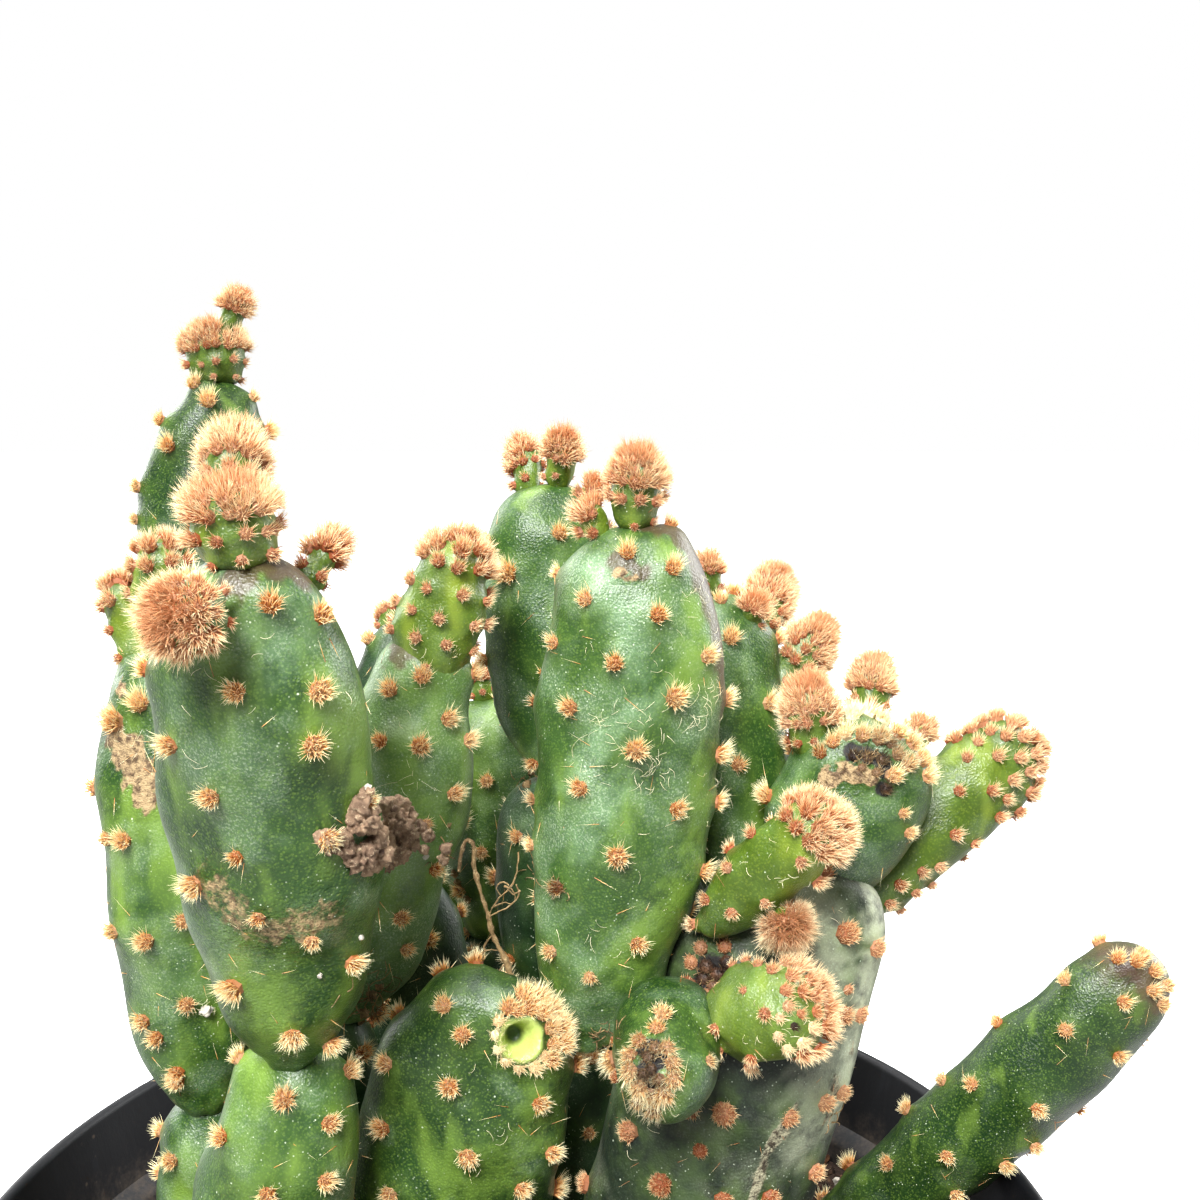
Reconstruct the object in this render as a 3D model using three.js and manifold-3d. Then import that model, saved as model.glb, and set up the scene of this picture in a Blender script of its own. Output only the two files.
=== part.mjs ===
// A monstrose cinnamon cactus in a black nursery pot, in millimetres, +Z up.
// The origin is the centre of the pot's underside. The cactus is a clump of jointed stem segments:
// thick old stems that rise out of the soil, pads that grow from them, and young buds at the tips.
// Each segment is a solid of its own that stops a hair short of the segment that it grows from.
import * as THREE from "three";
import { mergeVertices } from "three/addons/utils/BufferGeometryUtils.js";
import Module from "manifold-3d";

// ---------- driving dimensions
const POT_HEIGHT = 88;
const RIM_RADIUS = 50;
const BASE_RADIUS = 35;
const WALL = 1.3;
const COLLAR_HEIGHT = 10.5;
const COLLAR_STEP = 1.7;
const FLOOR = 1.8;
const SOIL_DROP = 12;
const SOIL_CROWN = 1.2;
const SEAT_GAP = 0.3;

// the raised ring in the pot's floor, where the water drains
const CHANNEL_INNER = 18;
const CHANNEL_OUTER = 30.5;
const CHANNEL_RISE = 2.6;
const CHANNEL_SLOPE = 1.2;
const DRAIN_COUNT = 6;
const DRAIN_RADIUS = 3.5;
const NOTCH_WIDTH = 6;

const SOIL_LEVEL = POT_HEIGHT - SOIL_DROP;
const BURIED = -6;

// how finely the faceted solids are made
const POT_SEGMENTS = 40;
const PAD_SIDES = 12;
const PAD_RINGS = 9;
const BUD_SIDES = 10;
const BUD_RINGS = 6;

// ---------- finishes
const FINISHES = {
  pot: new THREE.MeshStandardMaterial({ color: 0x1b1c20, roughness: 0.42, metalness: 0 }),
  soil: new THREE.MeshStandardMaterial({ color: 0x3a2a20, roughness: 0.95, metalness: 0 }),
  old: new THREE.MeshStandardMaterial({ color: 0x5f7a66, roughness: 0.6, metalness: 0 }),
  grown: new THREE.MeshStandardMaterial({ color: 0x4c8447, roughness: 0.5, metalness: 0 }),
  young: new THREE.MeshStandardMaterial({ color: 0x86ad3f, roughness: 0.55, metalness: 0 }),
  dry: new THREE.MeshStandardMaterial({ color: 0x7c6247, roughness: 0.9, metalness: 0 }),
};

// ---------- the segments
// A place is [x, y, height above the soil]. bow is where the middle of a bent segment's guide line lies.
// widest is how far along the segment its broadest section is. turn rotates the flat faces about the axis.
// on names the segment that it grows from, and clears names others that it is pressed against.
const PAD_WIDEST = 0.6;
const BUD_WIDEST = 0.5;
const PAD_FULLNESS = 2.6;
const BUD_FULLNESS = 2.3;

// Stems that stand in the soil.
const STEMS = [
  { name: "stem_front_left", base: [-22.8, -17.2, BURIED], tip: [-14, -20.6, 41],
    width: 11.4, thickness: 9, widest: 0.6 },
  { name: "stem_left", base: [-24.5, -1, BURIED], tip: [-25, -8.5, 30], width: 11, thickness: 9 },
  { name: "stem_middle_left", base: [-14.6, -0.8, BURIED], tip: [-14.4, -6.6, 37], width: 8.8, thickness: 7.6 },
  { name: "stem_front", base: [-12, -8.5, BURIED], tip: [-0.2, -13.8, 43],
    width: 16.6, thickness: 9.6, widest: 0.62 },
  { name: "stem_shaded", base: [-13, 8, BURIED], tip: [-10, 5.5, 44], width: 13, thickness: 8.5, turn: 12 },
  { name: "trunk", base: [10, -11, BURIED], bow: [14, -12, 24], tip: [25, -8, 51],
    width: 18, thickness: 11, widest: 0.64, fullness: 3, finish: "old" },
  { name: "stem_centre", base: [7, 5, BURIED], tip: [6, 4.5, 28], width: 15, thickness: 10 },
  { name: "stem_back_left", base: [-27, 17, BURIED], tip: [-31, 20, 43], width: 13, thickness: 9 },
  { name: "stem_back", base: [-4, 20, BURIED], tip: [-3, 17.5, 33], width: 15, thickness: 9.5 },
  { name: "stem_back_right", base: [14, 25, BURIED], tip: [19, 27, 40],
    width: 14.5, thickness: 9.5, turn: 24 },
  { name: "arm", base: [22, 15.5, BURIED], bow: [42, 10, 10.6], tip: [59.4, 7, 35.4],
    width: 10.8, thickness: 8.8, widest: 0.72 },
].map((stem) => ({ widest: 0.55, ...stem, on: "soil" }));

// Pads that grow from the stems.
const PADS = [
  { name: "pad_front_left", on: "stem_front_left", base: [-14.8, -20.9, 38.5], tip: [-14, -30.5, 78],
    bow: [-13.2, -25.6, 57], width: 13.9, thickness: 9.5, widest: 0.63, fullness: 2.35 },
  { name: "pad_left", on: "stem_left", base: [-25, -9, 28.5], tip: [-27.3, -5, 67],
    bow: [-26.6, -9, 48], width: 11.8, thickness: 9 },
  { name: "pad_middle_left", on: "stem_middle_left", base: [-14, -7.2, 36], tip: [-6.2, -6.9, 68.5],
    bow: [-8.4, -7, 49], width: 9.8, thickness: 8 },
  { name: "pad_centre", on: "stem_front", base: [5.8, -12.2, 36], tip: [9.9, -9, 77.5],
    bow: [10.8, -10.8, 57], width: 14, thickness: 9.5 },
  { name: "pad_centre_lower", on: "stem_centre", base: [6, 4.5, 26.5], tip: [4, 3.5, 54],
    width: 13, thickness: 8.5 },
  { name: "pad_centre_back", on: "pad_centre_lower", base: [3.8, 3, 52.5], tip: [3, 6, 79.5],
    width: 12.4, thickness: 8.2, fullness: 2.25 },
  { name: "pad_back", on: "stem_back", base: [-3, 17.5, 31.5], tip: [-3.4, 18.5, 57],
    width: 12, thickness: 8.5 },
  { name: "pad_shaded_tip", on: "stem_shaded", base: [-10, 6, 42], tip: [-12, 15, 65.5],
    width: 9, thickness: 7, turn: 30 },
  { name: "pad_back_left", on: "stem_back_left", base: [-31.3, 20, 41.5], tip: [-30.6, 24, 88.5],
    bow: [-34.5, 21.5, 64], width: 13, thickness: 9 },
  { name: "pad_right_rear", on: "trunk", clears: ["pad_right_round"], base: [18.6, -4, 44.6], tip: [17.6, 3, 70],
    width: 10.2, thickness: 8 },
  { name: "pad_back_right", on: "stem_back_right", base: [19, 27, 38.5], tip: [22, 24, 60],
    width: 11, thickness: 7.8, turn: 50 },
  { name: "pad_rear_left", on: "stem_back_left", base: [-28.5, 20, 29], tip: [-35, 30, 50],
    width: 10.4, thickness: 7.6, turn: 40 },
  { name: "pad_rear_middle", on: "stem_back", base: [-6, 21, 23], tip: [-14.5, 27.5, 43.5],
    width: 10.6, thickness: 7.6, turn: 28 },
  { name: "pad_rear_right", on: "stem_back_right", base: [14.6, 28, 20], tip: [9, 35.4, 39],
    width: 9.8, thickness: 7.4, turn: -30 },
  { name: "pad_right_round", on: "trunk", base: [23.6, -7.4, 47.4], tip: [31, -4.8, 60.3],
    width: 11.6, thickness: 10, widest: 0.56 },
  { name: "pad_right_light", on: "trunk", clears: ["pad_right_round"], base: [25.6, -4.6, 43],
    tip: [44.5, 0.7, 58.5], width: 8.6, thickness: 7.4, finish: "young" },
  { name: "pad_upper_light", on: "trunk", base: [15, -13, 46.2], tip: [24.4, -16.8, 57.6],
    width: 6.4, thickness: 5.8, finish: "young" },
  { name: "pad_lower_light", on: "trunk", base: [15.5, -14.8, 39.6], tip: [22.8, -20.8, 44.4],
    width: 8, thickness: 7, finish: "young" },
  { name: "pad_knob", on: "trunk", clears: ["pad_lower_light"], base: [13.2, -13, 40.8],
    tip: [11.7, -24, 38.6], width: 8.2, thickness: 7.2, widest: 0.5 },
  { name: "pad_middle_left_tip", on: "pad_middle_left", base: [-7.2, -6.9, 62.5], tip: [-3.2, -6.6, 76.6],
    width: 7.2, thickness: 6.2, widest: 0.5, fullness: 2.2, finish: "young" },
].map((pad) => ({ widest: PAD_WIDEST, finish: "grown", ...pad }));

// Buds, small and nearly round, that sit on the pads' tips and shoulders.
const BUDS = [
  { name: "bud_front_left_crown", on: "pad_front_left", base: [-14, -30.2, 76.8], tip: [-14.9, -30.8, 83.6],
    width: 6.4, thickness: 5.6 },
  { name: "bud_front_left_peak", on: "bud_front_left_crown", base: [-15, -29.4, 80.6],
    tip: [-15.8, -25.4, 87], width: 4.8, thickness: 4.6, clears: ["pad_front_left"] },
  { name: "bud_front_left_near", on: "pad_front_left", base: [-14.8, -32.4, 75],
    tip: [-16.6, -38.2, 75.6], width: 5, thickness: 4.8, clears: ["bud_front_left_crown"] },
  { name: "bud_front_left_far", on: "pad_front_left", base: [-11.6, -28, 74.8], tip: [-9.4, -24, 78.8],
    width: 3.2, thickness: 3, clears: ["bud_front_left_crown"] },
  { name: "bud_left_tall", on: "pad_left", base: [-27.2, -5.2, 65.4], tip: [-28.2, -3.4, 76],
    width: 5.2, thickness: 5 },
  { name: "bud_left_low", on: "pad_left", base: [-28.8, -5.4, 64.8], tip: [-32, -3.4, 72.4],
    width: 3.8, thickness: 3.6, clears: ["bud_left_tall"] },
  { name: "bud_centre_crown", on: "pad_centre", base: [10, -9, 76], tip: [10.4, -9.3, 83.6],
    width: 5, thickness: 4.8 },
  { name: "bud_centre_shoulder", on: "pad_centre", base: [8, -9.2, 75.2], tip: [6.6, -9, 79.8],
    width: 3.4, thickness: 3.2, clears: ["bud_centre_crown"] },
  { name: "bud_back_crown", on: "pad_centre_back", base: [3.8, 5.6, 78.2], tip: [4.3, 4.8, 84.4],
    width: 3.8, thickness: 3.6 },
  { name: "bud_back_far", on: "pad_centre_back", base: [1.6, 6.6, 77.6], tip: [0.4, 10.6, 83.4],
    width: 3.8, thickness: 3.6, clears: ["bud_back_crown"] },
  { name: "bud_back_shoulder", on: "pad_centre_back", base: [5.4, 4.4, 76.8], tip: [7.6, 2.6, 80.2],
    width: 3, thickness: 2.8, clears: ["bud_back_crown"] },
  { name: "bud_back_rim", on: "pad_back", base: [-3.8, 18.6, 55.8], tip: [-4.8, 19.4, 60.6],
    width: 3.8, thickness: 3.6 },
  { name: "bud_back_right_crown", on: "pad_back_right", base: [22, 24, 58.8], tip: [22.8, 23.8, 64.8],
    width: 4.4, thickness: 4.2 },
  { name: "bud_shaded_rear", on: "pad_shaded_tip", base: [-12.2, 15.8, 63.6], tip: [-13.2, 20, 66.2],
    width: 4.2, thickness: 4 },
  { name: "bud_back_left_crown", on: "pad_back_left", base: [-30.6, 24, 87], tip: [-31.2, 24.6, 94.6],
    width: 7, thickness: 6.2 },
  { name: "bud_back_left_peak", on: "bud_back_left_crown", base: [-30.4, 24.6, 92],
    tip: [-28.2, 25, 97.4], width: 3.8, thickness: 3.6 },
  { name: "bud_rear_crown", on: "pad_right_rear", base: [17, 2.8, 68.8], tip: [16.8, 3.6, 73.8],
    width: 3.6, thickness: 3.6 },
  { name: "bud_rear_shoulder", on: "pad_right_rear", base: [19.4, 1.8, 66.4], tip: [21, 0.6, 70.6],
    width: 3.4, thickness: 3.2, clears: ["bud_rear_crown"] },
  { name: "bud_rear_far", on: "pad_right_rear", base: [19.2, 4.4, 62.6], tip: [24.2, 11, 71.4],
    width: 5.4, thickness: 5, clears: ["bud_rear_crown"] },
  { name: "bud_right_back", on: "pad_right_rear", base: [21.6, 1.6, 59.6], tip: [27.4, 3.8, 68],
    width: 5.2, thickness: 5, clears: ["bud_rear_shoulder", "bud_rear_far", "pad_right_round"] },
  { name: "bud_right_near", on: "pad_right_round", base: [25.4, -6.2, 56.2], tip: [24, -5.4, 65],
    width: 5.2, thickness: 5, clears: ["bud_right_back", "pad_right_rear", "bud_rear_shoulder"] },
  { name: "bud_right_peak", on: "pad_right_round", base: [29.2, -4, 58.2], tip: [30.8, -0.6, 65.8],
    width: 4.4, thickness: 4.2, clears: ["bud_right_back", "bud_right_near"] },
  { name: "bud_right_edge", on: "pad_right_round", base: [32, -4.4, 56.6], tip: [34.6, -3.2, 61],
    width: 3.3, thickness: 3.2, clears: ["bud_right_peak", "pad_right_light"] },
  { name: "bud_trunk_woolly", on: "trunk", base: [21.4, -13, 47.4], tip: [21.4, -18.2, 49],
    width: 4, thickness: 4, clears: ["pad_upper_light", "pad_lower_light"] },
].map((bud) => ({
  widest: BUD_WIDEST,
  fullness: BUD_FULLNESS,
  finish: "young",
  sides: BUD_SIDES,
  rings: BUD_RINGS,
  ...bud,
}));

// Dry litter that lies between the pads.
const CRUMB_PLACE = [-7.6, -21.4, 57.6];
const CRUMB_RADII = [4.7, 10.2, 3.4];
const CRUMB_ROUGHNESS = 0.16;
const ROOT_RADIUS = 0.45;
const ROOT_SIDES = 3;
const ROOT_STEPS = 12;
const ROOT_ROUTE = [
  [0.4, -13.2, 42.4],
  [-0.2, -12.6, 46],
  [-1.3, -12.6, 49],
  [-2.1, -12.2, 52],
  [-2.4, -11.4, 54.8],
  [-3.1, -11.2, 54.2],
  [-3.4, -11.6, 51.8],
];

// ---------- solids
const wasm = await Module();
wasm.setup();

// A closed three.js geometry as a solid that can be cut.
function solidOf(geometry) {
  const bare = geometry.clone();
  bare.deleteAttribute("normal");
  bare.deleteAttribute("uv");
  const merged = mergeVertices(bare, 1e-4);
  return new wasm.Manifold(
    new wasm.Mesh({
      numProp: 3,
      vertProperties: new Float32Array(merged.attributes.position.array),
      triVerts: new Uint32Array(merged.index.array),
    }),
  );
}

// A solid as a geometry that a mesh can hold.
function geometryOf(solid) {
  const { numProp, vertProperties, triVerts, numVert } = solid.getMesh();
  const points = new Float32Array(numVert * 3);
  for (let i = 0; i < numVert; i += 1) {
    points.set(vertProperties.subarray(i * numProp, i * numProp + 3), i * 3);
  }
  const geometry = new THREE.BufferGeometry();
  geometry.setAttribute("position", new THREE.BufferAttribute(points, 3));
  geometry.setIndex(new THREE.BufferAttribute(triVerts, 1));
  return geometry;
}

// The largest of the bodies that a cut leaves, so that a shaving never counts as part of a segment.
function largestBody(solid) {
  return solid.decompose().reduce((best, body) => (body.volume() > best.volume() ? body : best));
}

// A place above the soil as a point in the part's frame.
const place = ([x, y, height]) => new THREE.Vector3(x, y, SOIL_LEVEL + height);

// The line that a segment grows along: straight, or bent through its bow.
function guideLine({ base, bow, tip }) {
  const from = place(base);
  const to = place(tip);
  const middle = bow ? place(bow) : from.clone().lerp(to, 0.5);
  return new THREE.QuadraticBezierCurve3(from, middle, to);
}

// How broad a segment is at a share of its length, as a share of its broadest section.
function breadthAt(share, widest, fullness) {
  const evened = share ** (Math.log(0.5) / Math.log(widest));
  return (1 - Math.abs(2 * evened - 1) ** fullness) ** (1 / fullness);
}

// A segment of stem: oval sections along its guide line, closed to a point at both ends.
// swell makes it larger all round, as the tool that cuts its neighbours.
function segmentGeometry(segment, swell = 0) {
  const { width, thickness, turn = 0 } = segment;
  const { widest = PAD_WIDEST, fullness = PAD_FULLNESS } = segment;
  const { sides = PAD_SIDES, rings = PAD_RINGS } = segment;
  const line = guideLine(segment);
  const points = [];
  const faces = [];
  const depth = new THREE.Vector3(0, 1, 0);

  const addPole = (share, reach) => {
    const along = line.getTangent(share);
    points.push(line.getPoint(share).addScaledVector(along, reach));
  };
  addPole(0, -swell);
  for (let ring = 1; ring < rings; ring += 1) {
    const share = (1 - Math.cos((Math.PI * ring) / rings)) / 2;
    const along = line.getTangent(share);
    const across = depth.clone().cross(along).normalize();
    across.applyAxisAngle(along, THREE.MathUtils.degToRad(turn));
    const through = along.clone().cross(across);
    const breadth = breadthAt(share, widest, fullness);
    const centre = line.getPoint(share).addScaledVector(along, (2 * share - 1) * swell);
    for (let side = 0; side < sides; side += 1) {
      const angle = (2 * Math.PI * side) / sides;
      points.push(
        centre
          .clone()
          .addScaledVector(across, (breadth * width * 0.5 + swell) * Math.cos(angle))
          .addScaledVector(through, (breadth * thickness * 0.5 + swell) * Math.sin(angle)),
      );
    }
  }
  addPole(1, swell);

  const top = points.length - 1;
  const at = (ring, side) => 1 + (ring - 1) * sides + (side % sides);
  for (let side = 0; side < sides; side += 1) {
    faces.push(0, at(1, side + 1), at(1, side));
    for (let ring = 1; ring < rings - 1; ring += 1) {
      faces.push(at(ring, side), at(ring, side + 1), at(ring + 1, side));
      faces.push(at(ring, side + 1), at(ring + 1, side + 1), at(ring + 1, side));
    }
    faces.push(at(rings - 1, side), at(rings - 1, side + 1), top);
  }
  const geometry = new THREE.BufferGeometry().setFromPoints(points);
  geometry.setIndex(faces);
  return geometry;
}

// ---------- the pot
const wallRadiusAt = (z) => BASE_RADIUS + ((RIM_RADIUS - COLLAR_STEP - BASE_RADIUS) * z) / POT_HEIGHT;

function lathe(profile, segments = POT_SEGMENTS) {
  const points = profile.map(([radius, z]) => new THREE.Vector2(radius, z));
  return new THREE.LatheGeometry(points, segments).rotateX(Math.PI / 2);
}

function makePot() {
  const collarFoot = POT_HEIGHT - COLLAR_HEIGHT;
  const outerAtFoot = wallRadiusAt(collarFoot);
  const channelTop = CHANNEL_RISE + FLOOR;
  const profile = [
    [0, 0],
    [CHANNEL_INNER - CHANNEL_SLOPE, 0],
    [CHANNEL_INNER, CHANNEL_RISE],
    [CHANNEL_OUTER, CHANNEL_RISE],
    [CHANNEL_OUTER + CHANNEL_SLOPE, 0],
    [BASE_RADIUS - 0.6, 0],
    [BASE_RADIUS, 0.6],
    [outerAtFoot, collarFoot],
    [outerAtFoot + COLLAR_STEP, collarFoot + 0.5],
    [RIM_RADIUS, POT_HEIGHT - 0.5],
    [RIM_RADIUS - 0.5, POT_HEIGHT],
    [RIM_RADIUS - WALL, POT_HEIGHT],
    [outerAtFoot + COLLAR_STEP - WALL, collarFoot + 1.6],
    [outerAtFoot - WALL, collarFoot],
    [wallRadiusAt(channelTop) - WALL, channelTop + 0.8],
    [CHANNEL_OUTER, channelTop],
    [CHANNEL_INNER, channelTop],
    [CHANNEL_INNER - CHANNEL_SLOPE - 0.6, FLOOR],
    [0, FLOOR],
  ];
  let pot = solidOf(lathe(profile));
  const drainRing = (CHANNEL_INNER + CHANNEL_OUTER) / 2;
  for (let i = 0; i < DRAIN_COUNT; i += 1) {
    const angle = (2 * Math.PI * i) / DRAIN_COUNT;
    const drain = new THREE.CylinderGeometry(DRAIN_RADIUS, DRAIN_RADIUS, 4 * FLOOR, 12);
    drain.rotateX(Math.PI / 2).translate(drainRing, 0, CHANNEL_RISE + FLOOR / 2).rotateZ(angle);
    const notch = new THREE.BoxGeometry(2 * (BASE_RADIUS - CHANNEL_OUTER), NOTCH_WIDTH, CHANNEL_RISE);
    notch.translate(BASE_RADIUS, 0, 0).rotateZ(angle);
    pot = pot.subtract(solidOf(drain)).subtract(solidOf(notch));
  }
  return pot;
}

// ---------- the soil
function makeSoil(segments) {
  const channelTop = CHANNEL_RISE + FLOOR + SEAT_GAP;
  const inner = (z) => wallRadiusAt(z) - WALL - SEAT_GAP;
  const profile = [
    [0, FLOOR + SEAT_GAP],
    [CHANNEL_INNER - CHANNEL_SLOPE - 1.2, FLOOR + SEAT_GAP],
    [CHANNEL_INNER - 0.4, channelTop],
    [CHANNEL_OUTER, channelTop],
    [inner(channelTop) - 0.6, channelTop + 0.9],
    [inner(SOIL_LEVEL - 1.4) - 0.3, SOIL_LEVEL - 1.4],
    [0.8 * inner(SOIL_LEVEL), SOIL_LEVEL - 0.4],
    [0.45 * inner(SOIL_LEVEL), SOIL_LEVEL + 0.6 * SOIL_CROWN],
    [0, SOIL_LEVEL + SOIL_CROWN],
  ];
  let soil = solidOf(lathe(profile));
  for (const stem of segments.filter(({ on }) => on === "soil")) {
    soil = soil.subtract(solidOf(segmentGeometry(stem, SEAT_GAP)));
  }
  return largestBody(soil);
}

// ---------- the litter
function makeCrumb() {
  const geometry = new THREE.IcosahedronGeometry(1, 2);
  const position = geometry.attributes.position;
  const point = new THREE.Vector3();
  for (let i = 0; i < position.count; i += 1) {
    point.fromBufferAttribute(position, i);
    const ripple = Math.sin(5 * point.x + 2 * point.z) + Math.sin(6 * point.y - 3 * point.x);
    point.multiplyScalar(1 + CRUMB_ROUGHNESS * ripple);
    position.setXYZ(i, point.x, point.y, point.z);
  }
  const centre = place(CRUMB_PLACE);
  geometry.scale(...CRUMB_RADII).translate(centre.x, centre.y, centre.z);
  return solidOf(geometry);
}

function makeRoot() {
  const section = new THREE.Shape();
  section.absarc(0, 0, ROOT_RADIUS, 0, 2 * Math.PI);
  const route = new THREE.CatmullRomCurve3(ROOT_ROUTE.map(place));
  return solidOf(
    new THREE.ExtrudeGeometry(section, {
      steps: ROOT_STEPS,
      curveSegments: ROOT_SIDES,
      extrudePath: route,
      bevelEnabled: false,
    }),
  );
}

// ---------- assembly
const segments = [...STEMS, ...PADS, ...BUDS];
const byName = new Map(segments.map((segment) => [segment.name, segment]));

// A segment, cut back a hair from the one that it grows from and from those that it is pressed against.
function makeSegment(segment) {
  let solid = solidOf(segmentGeometry(segment));
  for (const name of [segment.on, ...(segment.clears ?? [])]) {
    if (byName.has(name)) solid = solid.subtract(solidOf(segmentGeometry(byName.get(name), SEAT_GAP)));
  }
  return largestBody(solid);
}

const cactus = new THREE.Group();
const addPart = (name, solid, finish) => {
  const mesh = new THREE.Mesh(geometryOf(solid), FINISHES[finish]);
  mesh.name = name;
  cactus.add(mesh);
};

addPart("pot", makePot(), "pot");
addPart("soil", makeSoil(segments), "soil");
for (const segment of segments) addPart(segment.name, makeSegment(segment), segment.finish ?? "grown");

let crumb = makeCrumb();
for (const name of ["pad_front_left", "pad_middle_left", "stem_front_left"]) {
  crumb = crumb.subtract(solidOf(segmentGeometry(byName.get(name), SEAT_GAP)));
}
addPart("bark_crumb", largestBody(crumb), "dry");
let root = makeRoot();
for (const name of ["stem_front", "pad_centre"]) {
  root = root.subtract(solidOf(segmentGeometry(byName.get(name), SEAT_GAP)));
}
addPart("dry_root", largestBody(root), "dry");

export default cactus;
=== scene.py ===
"""A potted monstrose cinnamon cactus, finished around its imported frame.

The frame holds one solid for the pot, the soil, each stem, pad and bud, and the litter between them.
This script stands a finely modelled piece in the place of each. Lengths in it are millimetres, in the
frame's axes, and heights of grown things count from the soil's surface; meshes are made in metres.
"""
import logging
import math
from dataclasses import dataclass, fields
from enum import Enum
from functools import cache, reduce
from typing import Any, Callable, Iterable, Mapping, Sequence

import bmesh
import bpy
import numpy as np
from mathutils import Matrix, Vector, noise
from mathutils.bvhtree import BVHTree


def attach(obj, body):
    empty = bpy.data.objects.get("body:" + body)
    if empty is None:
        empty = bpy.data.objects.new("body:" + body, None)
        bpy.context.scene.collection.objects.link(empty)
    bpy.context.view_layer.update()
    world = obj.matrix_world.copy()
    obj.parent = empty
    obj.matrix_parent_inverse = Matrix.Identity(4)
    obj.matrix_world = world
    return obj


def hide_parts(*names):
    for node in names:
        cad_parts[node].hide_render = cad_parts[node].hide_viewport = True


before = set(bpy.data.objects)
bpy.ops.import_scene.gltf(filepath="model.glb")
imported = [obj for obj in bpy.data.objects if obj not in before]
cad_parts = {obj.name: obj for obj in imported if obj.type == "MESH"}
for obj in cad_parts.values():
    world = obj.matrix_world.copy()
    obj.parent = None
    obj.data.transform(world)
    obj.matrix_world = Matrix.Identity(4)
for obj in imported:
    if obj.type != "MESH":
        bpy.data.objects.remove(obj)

Array = np.ndarray
Generator = np.random.Generator
Mesh = bpy.types.Mesh
Triple = tuple[float, float, float]
Spot = tuple[float, ...]
Colour = tuple[float, float, float, float]
Shape = tuple[Array, list[tuple[int, ...]]]

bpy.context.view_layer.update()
BODY = "root"
MM = 0.001
SEED = 20
LOG = logging.getLogger("cactus")

# Lengths are millimetres. The others are shares, a count in a square millimetre, a cosine and an angle.
POT_HEIGHT = 88.0
SOIL_DROP = 12.0
SOIL_LEVEL = POT_HEIGHT - SOIL_DROP
BURIED = -6.0
STRAYS_PER_AREA = 0.045
HIDDEN_FINENESS = 0.32
CUSHION_SHARE = 0.88
ROW_STEP = 0.86
JITTER = 0.12
SEEN_GAP = 0.74
SOIL_GAP = 0.6
SKIN_GAP = 0.35
TURNED_AWAY = -0.35
SUNK = 0.14
LAST_SHARE = 0.995
POT_CREASE = math.radians(38)


def srgb(red: int, green: int, blue: int) -> Colour:
    """The linear colour of a screen colour.

    Args:
        red, green, blue: Its values, 0 to 255.

    Returns:
        The linear red, green, blue and an alpha of one.
    """
    shares = (value / 255 for value in (red, green, blue))
    linear = (c / 12.92 if c <= 0.04045 else ((c + 0.055) / 1.055) ** 2.4 for c in shares)
    return (*linear, 1.0)


def smooth(low: float, high: float, value: Array) -> Array:
    """A smooth step from 0 at low to 1 at high, for each value; it falls if high is below low."""
    share = np.clip((value - low) / (high - low), 0, 1)
    return share * share * (3 - 2 * share)


def operator_pair(operation: str) -> tuple[Callable[..., "Wire"], Callable[..., "Wire"]]:
    """The methods behind an operator: this with other, and other with this."""
    return (
        lambda self, other: self.math(operation, self, other),
        lambda self, other: self.math(operation, other, self),
    )


class Wire:
    """A node's output socket that takes part in arithmetic."""

    __add__, __radd__ = operator_pair("ADD")
    __sub__, __rsub__ = operator_pair("SUBTRACT")
    __mul__, __rmul__ = operator_pair("MULTIPLY")
    __truediv__, __rtruediv__ = operator_pair("DIVIDE")
    __pow__, __rpow__ = operator_pair("POWER")

    def __init__(self, graph: "Graph", socket: bpy.types.NodeSocket) -> None:
        """Keeps the socket and the graph that it is in."""
        self.graph = graph
        self.socket = socket

    def output(self, name: str) -> "Wire":
        """Another output of the same node, by its name."""
        return Wire(self.graph, Graph.pick(self.socket.node.outputs, name))

    def math(self, operation: str, *values: Any, clamp: bool = False) -> "Wire":
        """A Math node's result; clamped, it stays between 0 and 1."""
        settings = {"operation": operation, "use_clamp": clamp}
        return self.graph.add("ShaderNodeMath", settings, dict(enumerate(values)))

    def clamp(self) -> "Wire":
        """This, kept between 0 and 1."""
        return self.math("ADD", self, 0.0, clamp=True)

    def step(self, low: float, high: float) -> "Wire":
        """A smooth step from 0 where this is low to 1 where it is high.

        Args:
            low, high: Where the step begins and ends; it falls if high is below low.

        Returns:
            The mapped value.
        """
        if low > high:
            return 1.0 - self.step(high, low)
        values = {"Value": self, "From Min": low, "From Max": high}
        return self.graph.add("ShaderNodeMapRange", {"interpolation_type": "SMOOTHSTEP"}, values)


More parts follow.
